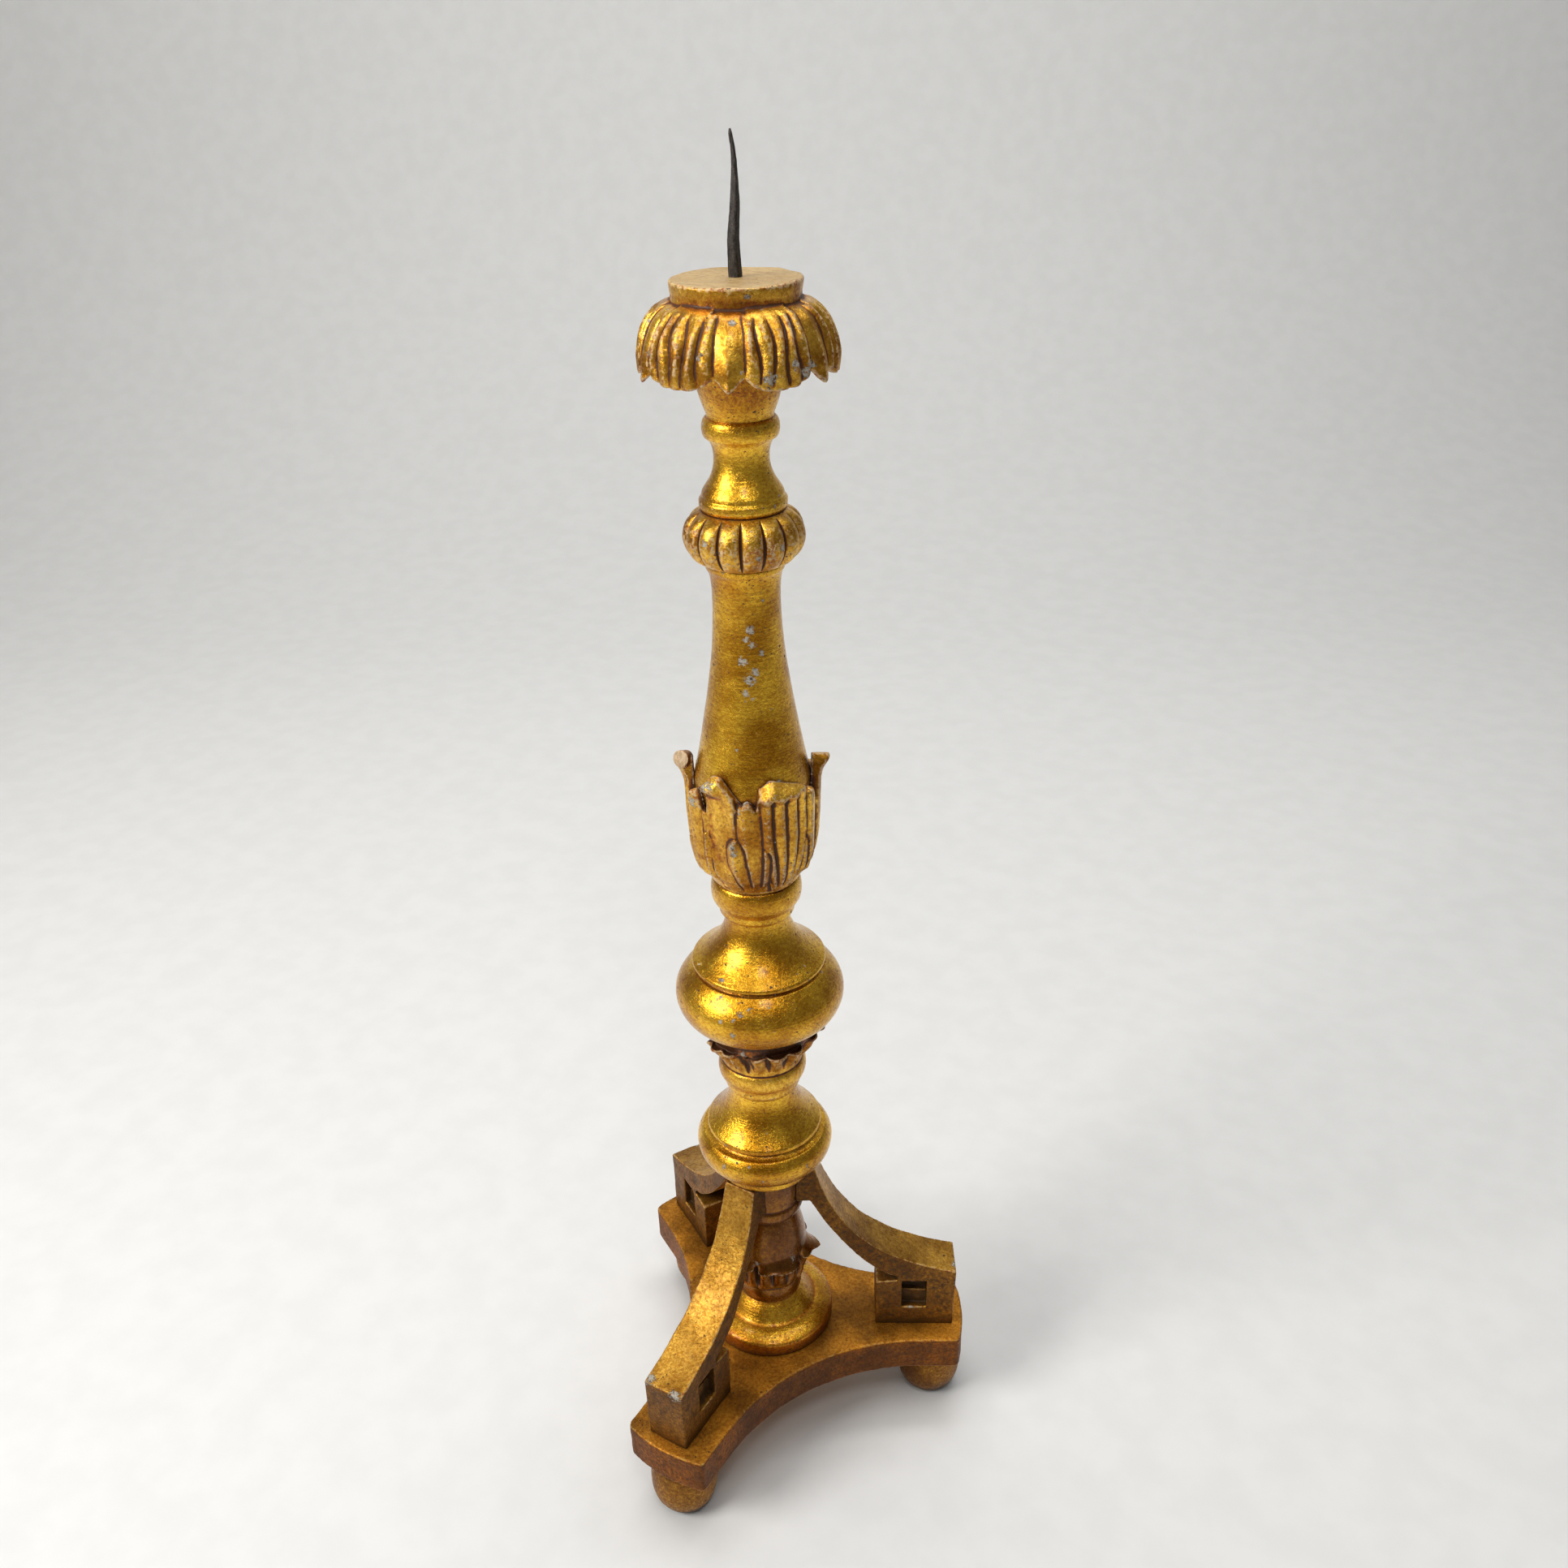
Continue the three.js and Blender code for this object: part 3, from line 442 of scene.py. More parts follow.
def settle(
    mesh, cad_node, materials, seed, wobble=0.12, reach=1.6, paint=None, bare=None,
    edge=None, painted_shade=None,
):
    """Makes a mesh the visible piece that stands for a CAD node. Its wear follows patches that
    are bare and an edge(points) that is rubbed bare; a function of (points, normals) gives the
    shade painted into its colour."""
    points = read_points(mesh) / MM
    normals = read_points(mesh, "vertex_normals", "vector")
    waver = hand_waver(points, 38, wobble, seed) + hand_waver(points, 11, wobble / 3, seed + 1)
    moved = points + normals * waver[:, None]
    moved[:, 2] = np.clip(moved[:, 2], 0, None)
    mesh.vertices.foreach_set("co", (moved * MM).ravel())
    mesh.update()
    mark_form(mesh, reach)
    mark_bare(mesh, moved, bare, edge)
    keep(mesh, "painted_shade", np.zeros(len(moved)) if painted_shade is None else painted_shade(moved, normals))
    mesh.transform(Matrix.Translation(AXIS))
    mesh.polygons.foreach_set("use_smooth", [True] * len(mesh.polygons))
    for material in materials:
        mesh.materials.append(material)
    if paint is not None:
        centres = read_points(mesh, "polygons", "center") / MM - np.array(AXIS) / MM
        facing = read_points(mesh, "polygons", "normal")
        mesh.polygons.foreach_set("material_index", paint(centres, facing).astype(np.int32))
    piece = bpy.data.objects.new(mesh.name, mesh)
    bpy.context.scene.collection.objects.link(piece)
    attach(piece, "root")
    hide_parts(cad_node)


def raised(lump, base):
    """A lump lifted to the level of its base."""
    points, faces = lump
    return np.asarray(points, float) + np.array([0, 0, base]), faces


def rod(start, end, start_radius, end_radius, sides=32):
    """A round stub between two points."""
    along = (end - start) / np.linalg.norm(end - start)
    side = np.cross(along, (0, 0, 1))
    side /= np.linalg.norm(side)
    up = np.cross(side, along)
    angle = np.linspace(0, 2 * math.pi, sides, endpoint=False)[:, None]
    ring = np.cos(angle) * side + np.sin(angle) * up
    points = np.concatenate([start + ring * start_radius, end + ring * end_radius])
    faces = [tuple(range(sides)), tuple(range(2 * sides - 1, sides - 1, -1))]
    for k in range(sides):
        j = (k + 1) % sides
        faces.append((j, k, sides + k, sides + j))
    return points, faces


def slab(outline, low, high):
    """An upright prism over an outline of (x, y)."""
    count = len(outline)
    points = [(x, y, low) for x, y in outline] + [(x, y, high) for x, y in outline]
    faces = [tuple(range(count - 1, -1, -1)), tuple(range(count, 2 * count))]
    faces += [(k, (k + 1) % count, count + (k + 1) % count, count + k) for k in range(count)]
    return np.array(points, float), faces


def turn_round(points, azimuth):
    """Points turned about the column's axis."""
    angle = math.radians(azimuth)
    x, y, z = np.asarray(points, float).T
    return np.stack(
        [x * math.cos(angle) - y * math.sin(angle), x * math.sin(angle) + y * math.cos(angle), z], 1
    )


# ------------------------------------------------------------------ shader groups

def node(tree, kind, inputs=None, **settings):
    made = tree.nodes.new(kind)
    for key, value in settings.items():
        setattr(made, key, value)
    for key, value in (inputs or {}).items():
        socket = made.inputs[key]
        if isinstance(value, bpy.types.NodeSocket):
            tree.links.new(value, socket)
        else:
            socket.default_value = value
    return made


def reckoned(tree, operation, first, second, clamp=False):
    return node(
        tree, "ShaderNodeMath", {0: first, 1: second}, operation=operation, use_clamp=clamp
    ).outputs[0]


def times(tree, first, second):
    return reckoned(tree, "MULTIPLY", first, second)


def plus(tree, first, second):
    return reckoned(tree, "ADD", first, second)


def minus(tree, first, second):
    return reckoned(tree, "SUBTRACT", first, second)


def most(tree, first, second, clamp=False):
    return reckoned(tree, "MAXIMUM", first, second, clamp)


def stretched(tree, point, factors):
    return node(
        tree, "ShaderNodeVectorMath", {0: point, 1: factors}, operation="MULTIPLY"
    ).outputs[0]


def between(tree, value, low, high, start=0.0, end=1.0):
    """A smooth step of a value from start to end as it goes from low to high."""
    made = node(
        tree,
        "ShaderNodeMapRange",
        {"Value": value, "From Min": low, "From Max": high, "To Min": start, "To Max": end},
        interpolation_type="SMOOTHSTEP",
    )
    return made.outputs["Result"]


def noise(tree, point, scale, detail=3.0, roughness=0.5, distortion=0.0):
    inputs = {"Vector": point, "Scale": scale, "Detail": detail}
    inputs |= {"Roughness": roughness, "Distortion": distortion}
    return node(tree, "ShaderNodeTexNoise", inputs).outputs["Fac"]


def mixed(tree, share, first, second, kind="MIX"):
    made = node(tree, "ShaderNodeMix", data_type="RGBA", blend_type=kind)
    ends = ((made.inputs[0], share), (made.inputs[6], first), (made.inputs[7], second))
    for socket, value in ends:
        if isinstance(value, bpy.types.NodeSocket):
            tree.links.new(value, socket)
        elif isinstance(value, tuple):
            socket.default_value = (*value, 1)
        else:
            socket.default_value = value
    return made.outputs[2]


def group(name, inputs, outputs):
    """A shader node group with its sockets; inputs maps each name to its default value."""
    tree = bpy.data.node_groups.new(name, "ShaderNodeTree")
    for key, default in inputs.items():
        kind = "NodeSocketVector" if isinstance(default, tuple) else "NodeSocketFloat"
        socket = tree.interface.new_socket(key, in_out="INPUT", socket_type=kind)
        socket.default_value = default
    for key in outputs:
        tree.interface.new_socket(key, in_out="OUTPUT", socket_type="NodeSocketFloat")
    return tree, node(tree, "NodeGroupInput").outputs, node(tree, "NodeGroupOutput").inputs


def tone_group():
    """Slow changes of shade, the leaf's fine grain and brushing, and finer flecks."""
    tree, given, wanted = group(
        "leaf tone", {"Point": (0.0, 0.0, 0.0), "Streak": 1.0}, ("Shade", "Mottle", "Fleck")
    )
    column = node(tree, "ShaderNodeCombineXYZ", {0: 1.0, 1: 1.0, 2: given["Streak"]}).outputs[0]
    along = stretched(tree, given["Point"], column)
    tree.links.new(
        between(tree, noise(tree, given["Point"], 0.02, 4, 0.6), 0.34, 0.66), wanted["Shade"]
    )
    tree.links.new(between(tree, noise(tree, along, 0.3, 6, 0.7), 0.32, 0.64), wanted["Mottle"])
    tree.links.new(between(tree, noise(tree, along, 1.3, 3, 0.65), 0.3, 0.72), wanted["Fleck"])
    return tree


def chip_group():
    """Flakes of leaf and gesso that have gone: their middles, their rims and their pits."""
    tree, given, wanted = group(
        "gesso chips",
        {"Point": (0.0, 0.0, 0.0), "Spacing": 12.0, "Amount": 0.3, "Edges": 0.0, "Patch": 0.0},
        ("Chip", "Rim", "Bare"),
    )
    warp = node(
        tree,
        "ShaderNodeTexNoise",
        {"Vector": given["Point"], "Scale": 0.35, "Detail": 3.0, "Roughness": 0.6},
    ).outputs["Color"]
    shifted = node(
        tree, "ShaderNodeVectorMath", {0: warp, 1: (5.0, 5.0, 5.0), 2: given["Point"]},
        operation="MULTIPLY_ADD",
    ).outputs[0]
    cell = node(
        tree,
        "ShaderNodeTexVoronoi",
        {"Vector": shifted, "Scale": reckoned(tree, "DIVIDE", 1.0, given["Spacing"])},
    )
    lot = node(tree, "ShaderNodeSeparateColor", {0: cell.outputs["Color"]}).outputs[0]
    luck = plus(tree, given["Amount"], times(tree, given["Edges"], 0.5))
    size = times(tree, minus(tree, luck, lot), 0.75)
    depth = minus(tree, size, cell.outputs["Distance"])
    ragged = minus(tree, noise(tree, given["Point"], 0.42, 5, 0.72), 0.5)
    torn = plus(tree, given["Patch"], times(tree, ragged, 2.4))
    torn = times(tree, minus(tree, torn, 0.58), 0.5)
    torn = reckoned(tree, "MINIMUM", torn, minus(tree, given["Patch"], 0.3))
    depth = most(tree, depth, torn)
    tree.links.new(between(tree, depth, -0.01, 0.03), wanted["Chip"])
    outside = between(tree, depth, -0.07, 0.0)
    inside = between(tree, depth, 0.0, 0.09, 1.0, 0.0)
    rim = times(tree, outside, inside)
    tree.links.new(rim, wanted["Rim"])
    tree.links.new(between(tree, depth, 0.05, 0.16), wanted["Bare"])
    return tree


def speck_group():
    """Small dark pits, specks of dirt and short scratches."""
    tree, given, wanted = group(
        "specks and scratches",
        {"Point": (0.0, 0.0, 0.0), "Amount": 0.3, "Scratches": 0.3},
        ("Speck", "Scratch"),
    )
    flat = stretched(tree, given["Point"], (1.0, 1.0, 1.7))
    wavy = node(tree, "ShaderNodeTexNoise", {"Vector": flat, "Scale": 0.6, "Detail": 3.0})
    flat = node(
        tree, "ShaderNodeVectorMath", {0: wavy.outputs["Color"], 1: (2.6, 2.6, 2.6), 2: flat},
        operation="MULTIPLY_ADD",
    ).outputs[0]
    crowd = times(tree, minus(tree, noise(tree, flat, 0.05, 3), 0.48), 1.6)
    crowd = plus(tree, given["Amount"], crowd)
    total = 0.0
    for scale, share in ((0.11, 0.30), (0.27, 0.42)):
        dots = node(tree, "ShaderNodeTexVoronoi", {"Vector": flat, "Scale": scale})
        lot = node(tree, "ShaderNodeSeparateColor", {0: dots.outputs["Color"]}).outputs[1]
        size = times(tree, minus(tree, crowd, lot), share)
        inside = minus(tree, size, dots.outputs["Distance"])
        total = most(tree, between(tree, inside, -0.02, 0.03), total)
    tree.links.new(total, wanted["Speck"])
    bent = node(
        tree,
        "ShaderNodeTexNoise",
        {"Vector": given["Point"], "Scale": 0.12, "Detail": 2.0},
    ).outputs["Color"]
    curled = node(
        tree, "ShaderNodeVectorMath", {0: bent, 1: (9.0, 9.0, 9.0), 2: given["Point"]},
        operation="MULTIPLY_ADD",
    ).outputs[0]
    crack = node(
        tree,
        "ShaderNodeTexVoronoi",
        {"Vector": curled, "Scale": 0.16, "Randomness": 1.0},
        feature="DISTANCE_TO_EDGE",
    ).outputs["Distance"]
    thin = between(tree, crack, 0.012, 0.045, 1.0, 0.0)
    here = between(tree, noise(tree, given["Point"], 0.21, 3, 0.6), 0.52, 0.6)
    tree.links.new(
        times(tree, times(tree, thin, here), given["Scratches"]),
        wanted["Scratch"],
    )
    return tree


def wear_group():
    """Where handling has rubbed the ridges, and a mask of grime and glaze in the hollows together
    with painted shade: darkening from ambient occlusion, from the hollows and from the shade
    painted on each piece.
    """
    tree, given, wanted = group(
        "rubbing, grime and painted shade",
        {
            "Point": (0.0, 0.0, 0.0), "Fine Ridge": 0.0, "Broad Ridge": 0.0,
            "Fine Hollow": 0.0, "Broad Hollow": 0.0, "Open": 1.0, "Painted Shade": 0.0,
            "Rubbing": 0.5, "Dirt And Shade": 0.5,
        },
        ("Rubbed", "Grime And Shade"),
    )
    patchy = noise(tree, given["Point"], 0.32, 5, 0.7)
    ridge = plus(tree, given["Fine Ridge"], times(tree, given["Broad Ridge"], 0.5))
    rub = times(tree, ridge, given["Rubbing"])
    rub = plus(tree, rub, times(tree, minus(tree, patchy, 0.6), 2.2))
    tree.links.new(between(tree, rub, 0.12, 0.36), wanted["Rubbed"])
    # Painted shade: the hollows, ambient occlusion and each piece's painted share of shade darken
    # the colour, with patchy dirt over it
    hollow = plus(tree, given["Fine Hollow"], given["Broad Hollow"])
    shade = between(tree, given["Open"], 0.15, 0.85, 1.0, 0.0)
    dirt_and_shade = times(tree, plus(tree, hollow, shade), given["Dirt And Shade"])
    dirt_and_shade = plus(tree, dirt_and_shade, given["Painted Shade"])
    dirt_and_shade = plus(tree, dirt_and_shade, times(tree, minus(tree, patchy, 0.5), 0.8))
    tree.links.new(between(tree, dirt_and_shade, 0.12, 0.8), wanted["Grime And Shade"])
    return tree


def tool_group():
    """Heights left by tools: rings from the lathe, brushed gesso and the leaf's own grain."""
    tree, given, wanted = group(
        "tool marks", {"Point": (0.0, 0.0, 0.0), "Rings": 0.3, "Brushing": 0.3}, ("Height",)
    )
    rings = noise(tree, stretched(tree, given["Point"], (0.03, 0.03, 1.0)), 0.55, 3, 0.55)
    brush = noise(tree, given["Point"], 0.4, 4, 0.6)
    grain = noise(tree, given["Point"], 1.6, 2, 0.5)
    total = times(tree, rings, given["Rings"])
    total = plus(tree, total, times(tree, brush, given["Brushing"]))
    total = plus(tree, total, times(tree, grain, 0.14))
    tree.links.new(total, wanted["Height"])
    return tree


TONE, CHIPS, SPECKS, WEAR, TOOLS = (
    tone_group(), chip_group(), speck_group(), wear_group(), tool_group()
)


def placed(tree, shared, inputs):
    return node(tree, "ShaderNodeGroup", inputs, node_tree=shared).outputs


def new_material(name):
    material = bpy.data.materials.new(name)
    material.use_nodes = True
    tree = material.node_tree
    shader = tree.nodes["Principled BSDF"]
    place = node(tree, "ShaderNodeTexCoord").outputs["Object"]
    point = stretched(tree, place, (1 / MM, 1 / MM, 1 / MM))
    return material, tree, shader, point


def emboss(tree, shader, height, distance, strength=0.6):
    inputs = {"Height": height, "Distance": distance, "Strength": strength}
    bump = node(tree, "ShaderNodeBump", inputs)
    tree.links.new(bump.outputs["Normal"], shader.inputs["Normal"])


BOLE = (0.30, 0.075, 0.015)
GESSO = (0.56, 0.50, 0.41)
DIRTY_GESSO = (0.12, 0.08, 0.055)
PIT_BLACK = (0.03, 0.016, 0.008)


def gilding(
    name,
    bright,
    deep,
    glaze_and_shade=(0.05, 0.017, 0.004),
    toning_and_shade=(0.72, 0.42, 0.22),
    worn=(0.56, 0.42, 0.24),
    streak=1.0,
    chips=0.2,
    spacing=14.0,
    specks=0.5,
    rubbing=0.5,
    dirt_and_shade=0.6,
    rings=0.3,
    brushing=0.3,
    shine=0.3,
    metal=0.9,
    coat=0.12,
    gleam=0.35,
):
    """Burnished gold leaf over red bole and white gesso, rubbed, chipped and toned with age, with
    shade painted into its hollows and recesses.
    """
    material, tree, shader, point = new_material(name)
    form = {
        key: node(tree, "ShaderNodeAttribute", attribute_name=key).outputs["Fac"]
        for key in ("ridge_fine", "ridge_broad", "hollow_fine", "hollow_broad", "bare", "painted_shade")
    }
    # Ambient occlusion, for shade painted into recesses and between parts
    opened = node(tree, "ShaderNodeAmbientOcclusion", {"Distance": 0.022}, samples=6).outputs["AO"]
    tone = placed(tree, TONE, {"Point": point, "Streak": streak})
    wear = placed(
        tree,
        WEAR,
        {
            "Point": point,
            "Fine Ridge": form["ridge_fine"],
            "Broad Ridge": form["ridge_broad"],
            "Fine Hollow": form["hollow_fine"],
            "Broad Hollow": form["hollow_broad"],
            "Open": opened,
            "Painted Shade": form["painted_shade"],
            "Rubbing": rubbing,
            "Dirt And Shade": dirt_and_shade,
        },
    )
    chip = placed(
        tree,
        CHIPS,
        {
            "Point": point, "Spacing": spacing, "Amount": chips, "Edges": form["ridge_fine"],
            "Patch": form["bare"],
        },
    )
    marks = placed(tree, SPECKS, {"Point": point, "Amount": specks, "Scratches": 0.4})
    tools = placed(tree, TOOLS, {"Point": point, "Rings": rings, "Brushing": brushing})

    # Leaf, thin and thick, and the bole or the paler ground where it is rubbed
    colour = mixed(tree, tone["Shade"], deep, bright)
    darker = mixed(tree, 1.0, colour, (0.58, 0.45, 0.28), "MULTIPLY")
    colour = mixed(tree, tone["Mottle"], darker, colour)
    lighter = mixed(tree, 1.0, colour, (1.35, 1.4, 1.9), "MULTIPLY")
    colour = mixed(tree, times(tree, tone["Fleck"], 0.6), colour, lighter)
    under = mixed(tree, between(tree, tone["Mottle"], 0.2, 0.6), BOLE, worn)
    rubbed = times(tree, wear["Rubbed"], 0.8)
    colour = mixed(tree, rubbed, colour, under)
    # Warm toning round the hollows and dark glaze in their depths, which also paint shade there and
    # where ambient occlusion and the piece's painted shade darken it
    warmed_and_shaded = mixed(tree, 1.0, colour, toning_and_shade, "MULTIPLY")
    colour = mixed(tree, between(tree, wear["Grime And Shade"], 0.0, 0.4), colour, warmed_and_shaded)
    colour = mixed(tree, between(tree, wear["Grime And Shade"], 0.3, 1.0, 0.0, 0.95), colour, glaze_and_shade)
    # Chips down to the gesso, which is dirty in places
    grey = mixed(tree, tone["Fleck"], tuple(0.55 * c for c in GESSO), GESSO)
    grey = mixed(tree, between(tree, tone["Mottle"], 0.5, 0.0), grey, DIRTY_GESSO)
    colour = mixed(tree, chip["Chip"], colour, grey)
    # Pits, scratches and the dark rims of the chips
    dark = most(tree, marks["Speck"], marks["Scratch"])
    dark = most(tree, dark, times(tree, chip["Rim"], 0.55))
    colour = mixed(tree, times(tree, dark, 0.9), colour, PIT_BLACK)
    tree.links.new(colour, shader.inputs["Base Color"])

    # Only sound leaf, clear of grime and painted shade, is metallic and smooth
    dull = most(tree, times(tree, wear["Grime And Shade"], 0.85), chip["Chip"])
    dull = most(tree, dull, most(tree, rubbed, dark), clamp=True)
    tree.links.new(
        times(tree, minus(tree, 1.0, dull), metal),
        shader.inputs["Metallic"],
    )
    sheen = node(
        tree, "ShaderNodeMath", {0: tone["Mottle"], 1: -0.08, 2: shine + 0.08},
        operation="MULTIPLY_ADD",
    ).outputs[0]
    rough = node(
        tree, "ShaderNodeMix", {0: dull, 2: sheen, 3: 0.62}, data_type="FLOAT"
    ).outputs[0]
    tree.links.new(rough, shader.inputs["Roughness"])
    shader.inputs["Coat Weight"].default_value = coat
    shader.inputs["Coat Roughness"].default_value = 0.15
    shader.inputs["Specular IOR Level"].default_value = gleam

    # Tool marks, less what has chipped or rubbed away
    height = minus(tree, tools["Height"], times(tree, chip["Chip"], 0.6))
    height = minus(tree, height, times(tree, dark, 0.4))
    height = minus(tree, height, times(tree, wear["Rubbed"], 0.1))
    emboss(tree, shader, height, 0.0008)
    return material


def forged_iron():
    material, tree, shader, point = new_material("forged_iron")
    drawn = noise(tree, stretched(tree, point, (1.0, 1.0, 0.22)), 0.5, 5, 0.6)
    crust = noise(tree, point, 0.9, 4, 0.65)
    black = (0.028, 0.024, 0.021)
    grey = (0.075, 0.066, 0.058)
    colour = mixed(tree, between(tree, drawn, 0.35, 0.65), black, grey)
    colour = mixed(tree, between(tree, crust, 0.55, 0.72), colour, (0.13, 0.085, 0.055))
    tree.links.new(colour, shader.inputs["Base Color"])
    tree.links.new(between(tree, crust, 0.4, 0.7, 0.75, 0.3), shader.inputs["Metallic"])
    tree.links.new(between(tree, drawn, 0.3, 0.7, 0.42, 0.62), shader.inputs["Roughness"])
    height = plus(tree, drawn, times(tree, crust, 0.4))
    emboss(tree, shader, height, 0.0012, 0.7)
    return material


def plain_wood(name, light, dark):
    material, tree, shader, point = new_material(name)
    grain = noise(tree, stretched(tree, point, (1.0, 1.0, 0.12)), 0.45, 5, 0.6, 0.4)
    pores = noise(tree, stretched(tree, point, (1.0, 1.0, 0.2)), 1.7, 2, 0.6)
    colour = mixed(tree, between(tree, grain, 0.35, 0.65), dark, light)
    colour = mixed(tree, between(tree, pores, 0.62, 0.72), colour, tuple(0.35 * c for c in dark))
    tree.links.new(colour, shader.inputs["Base Color"])
    tree.links.new(between(tree, grain, 0.3, 0.7, 0.8, 0.6), shader.inputs["Roughness"])
    emboss(tree, shader, grain, 0.0006)
    return material


def pan_top_finish():
    """Thin worn gilding, with the wood's grain and dark specks, on the pan's flat top."""
    material, tree, shader, point = new_material("worn_pan_top")
    tone = placed(tree, TONE, {"Point": point, "Streak": 1.0})
    marks = placed(tree, SPECKS, {"Point": point, "Amount": 0.25, "Scratches": 0.7})
    grain = noise(tree, stretched(tree, point, (0.1, 1.0, 1.0)), 0.35, 4, 0.6, 0.5)
    colour = mixed(tree, tone["Shade"], (0.36, 0.22, 0.07), (0.50, 0.34, 0.14))
    colour = mixed(tree, between(tree, grain, 0.5, 0.66), colour, (0.28, 0.14, 0.035))
    colour = mixed(tree, times(tree, tone["Mottle"], 0.4), colour, (0.52, 0.39, 0.2))
    dark = most(tree, marks["Speck"], marks["Scratch"])
    colour = mixed(tree, times(tree, dark, 0.8), colour, (0.06, 0.035, 0.02))
    tree.links.new(colour, shader.inputs["Base Color"])
    tree.links.new(between(tree, tone["Mottle"], 0, 1, 0.25, 0.05), shader.inputs["Metallic"])
    tree.links.new(between(tree, grain, 0.3, 0.7, 0.6, 0.42), shader.inputs["Roughness"])
    height = minus(tree, grain, times(tree, dark, 0.6))
    emboss(tree, shader, height, 0.0006)
    return material


BRIGHT = (0.92, 0.54, 0.035)
DEEP = (0.50, 0.22, 0.005)
TURNED_GOLD = gilding(
    "turned_gilding", BRIGHT, DEEP, streak=1.6, rings=0.5, specks=0.5, rubbing=0.4, chips=0.2,
    spacing=9, dirt_and_shade=0.8, brushing=0.8, shine=0.22, coat=0.2,
)
CARVED_GOLD = gilding(
    "carved_gilding", (0.94, 0.56, 0.06), (0.42, 0.17, 0.006), chips=0.2, spacing=9, rubbing=1.2,
    dirt_and_shade=1.35, rings=0.0, brushing=1.0, specks=0.4, toning_and_shade=(0.62, 0.33, 0.14), shine=0.26,
)
# A darker gilding, with shade painted into its colour, for the stem, which stands in shadow between
# the legs
SHADE_PAINTED_GOLD = gilding(
    "shade_painted_gilding", (0.34, 0.14, 0.010), (0.15, 0.05, 0.003), chips=0.12, spacing=12,
    rubbing=0.6, dirt_and_shade=1.2, rings=0.0, brushing=0.5, specks=0.4, shine=0.26, coat=0.3,
)
BASE_GOLD = gilding(
    "base_gilding", (0.60, 0.33, 0.045), (0.30, 0.14, 0.014), chips=0.12, spacing=14,
    rubbing=0.65, dirt_and_shade=0.9, rings=0.0, brushing=1.2, specks=0.42, shine=0.36,
    coat=0.04, gleam=0.2, worn=(0.52, 0.34, 0.13), toning_and_shade=(0.55, 0.42, 0.26),
    glaze_and_shade=(0.045, 0.021, 0.004),
)
PLATE_GOLD = gilding(
    "plate_gilding", (0.62, 0.27, 0.024), (0.24, 0.10, 0.010), worn=(0.42, 0.26, 0.07),
    chips=0.08, spacing=20, rubbing=0.6, dirt_and_shade=0.45, rings=0.0, brushing=1.2, specks=0.42,
    shine=0.44, metal=0.7, coat=0.04, gleam=0.15, toning_and_shade=(0.6, 0.42, 0.26),
    glaze_and_shade=(0.045, 0.021, 0.004),
)
IRON = forged_iron()
BROKEN_WOOD = plain_wood("broken_wood", (0.62, 0.47, 0.30), (0.42, 0.28, 0.15))
PEG_WOOD = plain_wood("peg_wood", (0.42, 0.26, 0.12), (0.25, 0.14, 0.06))
PAN_TOP_WORN = pan_top_finish()


# ------------------------------------------------------------------ base

def plate_outline():
    reach, half, waist, bow = 206.0, 45.5, 88.0, 6.0
    # How far the two corners of each arm are worn back
    corners = {"front": (10.0, 3.0), "right": (6.0, 10.0), "left": (10.0, 9.0)}
    spread = math.radians(60)
    centre = (waist - half) / (1 - math.sin(spread))
    hollow_radius = centre - waist
    outline = []
    for side, azimuth in LEG_AZIMUTHS.items():
        near, far = corners[side]
        end = reach - bow
        arm = [(end - near, -half)]
        curve(arm, (end, -half), (end + 1, near - half))
        curve(arm, (reach + bow - 1, 0), (end + 1, half - far))
        curve(arm, (end, half), (end - far, half))
        middle = (centre * math.cos(spread), centre * math.sin(spread))
        for k in range(41):
            angle = blend(-math.pi / 2, -math.pi / 2 - (math.pi - 2 * spread), k / 40)
            arm.append(
                (
                    middle[0] + hollow_radius * math.cos(angle),
                    middle[1] + hollow_radius * math.sin(angle),
                )
            )
        flat = turn_round([(x, y, 0) for x, y in arm], azimuth)
        outline += [(x, y) for x, y, _ in flat]
    return outline


def make_plate():
    mesh = fused("plate_gilded", slab(plate_outline(), PLATE_BASE, PLATE_TOP), 1.5, rounds=4)

    # Painted shade: the plate's upright sides are darker than its top
    def side_painted_shade(_, normals):
        return 0.5 * ease(np.abs(normals[:, 2]), 0.6, 0.2)

    settle(
        mesh, "base_plate", [PLATE_GOLD], seed=11, wobble=0.25, reach=2.2,
        painted_shade=side_painted_shade,
    )


def make_foot(side, azimuth):
    path = [(0, 0), (13, 0)]
    quarter_out(path, 33.5, 34)
    quarter_in(path, 26, PLATE_BASE)
    line(path, (0, PLATE_BASE + 0.4))
    points, faces = turned(path, 96, 1.2)
    from_axis = 171.5
    points = turn_round(points + np.array([from_axis, 0, 0]), azimuth)
    mesh = mesh_from(f"{side}_bun_foot", points, faces)

    # Painted shade over the whole foot, under the plate
    def painted_shade_beneath(points, _):
        return np.full(len(points), 0.4)

    settle(
        mesh, f"{side}_foot", [BASE_GOLD], seed=21 + azimuth % 7, wobble=0.3,
        painted_shade=painted_shade_beneath,
    )


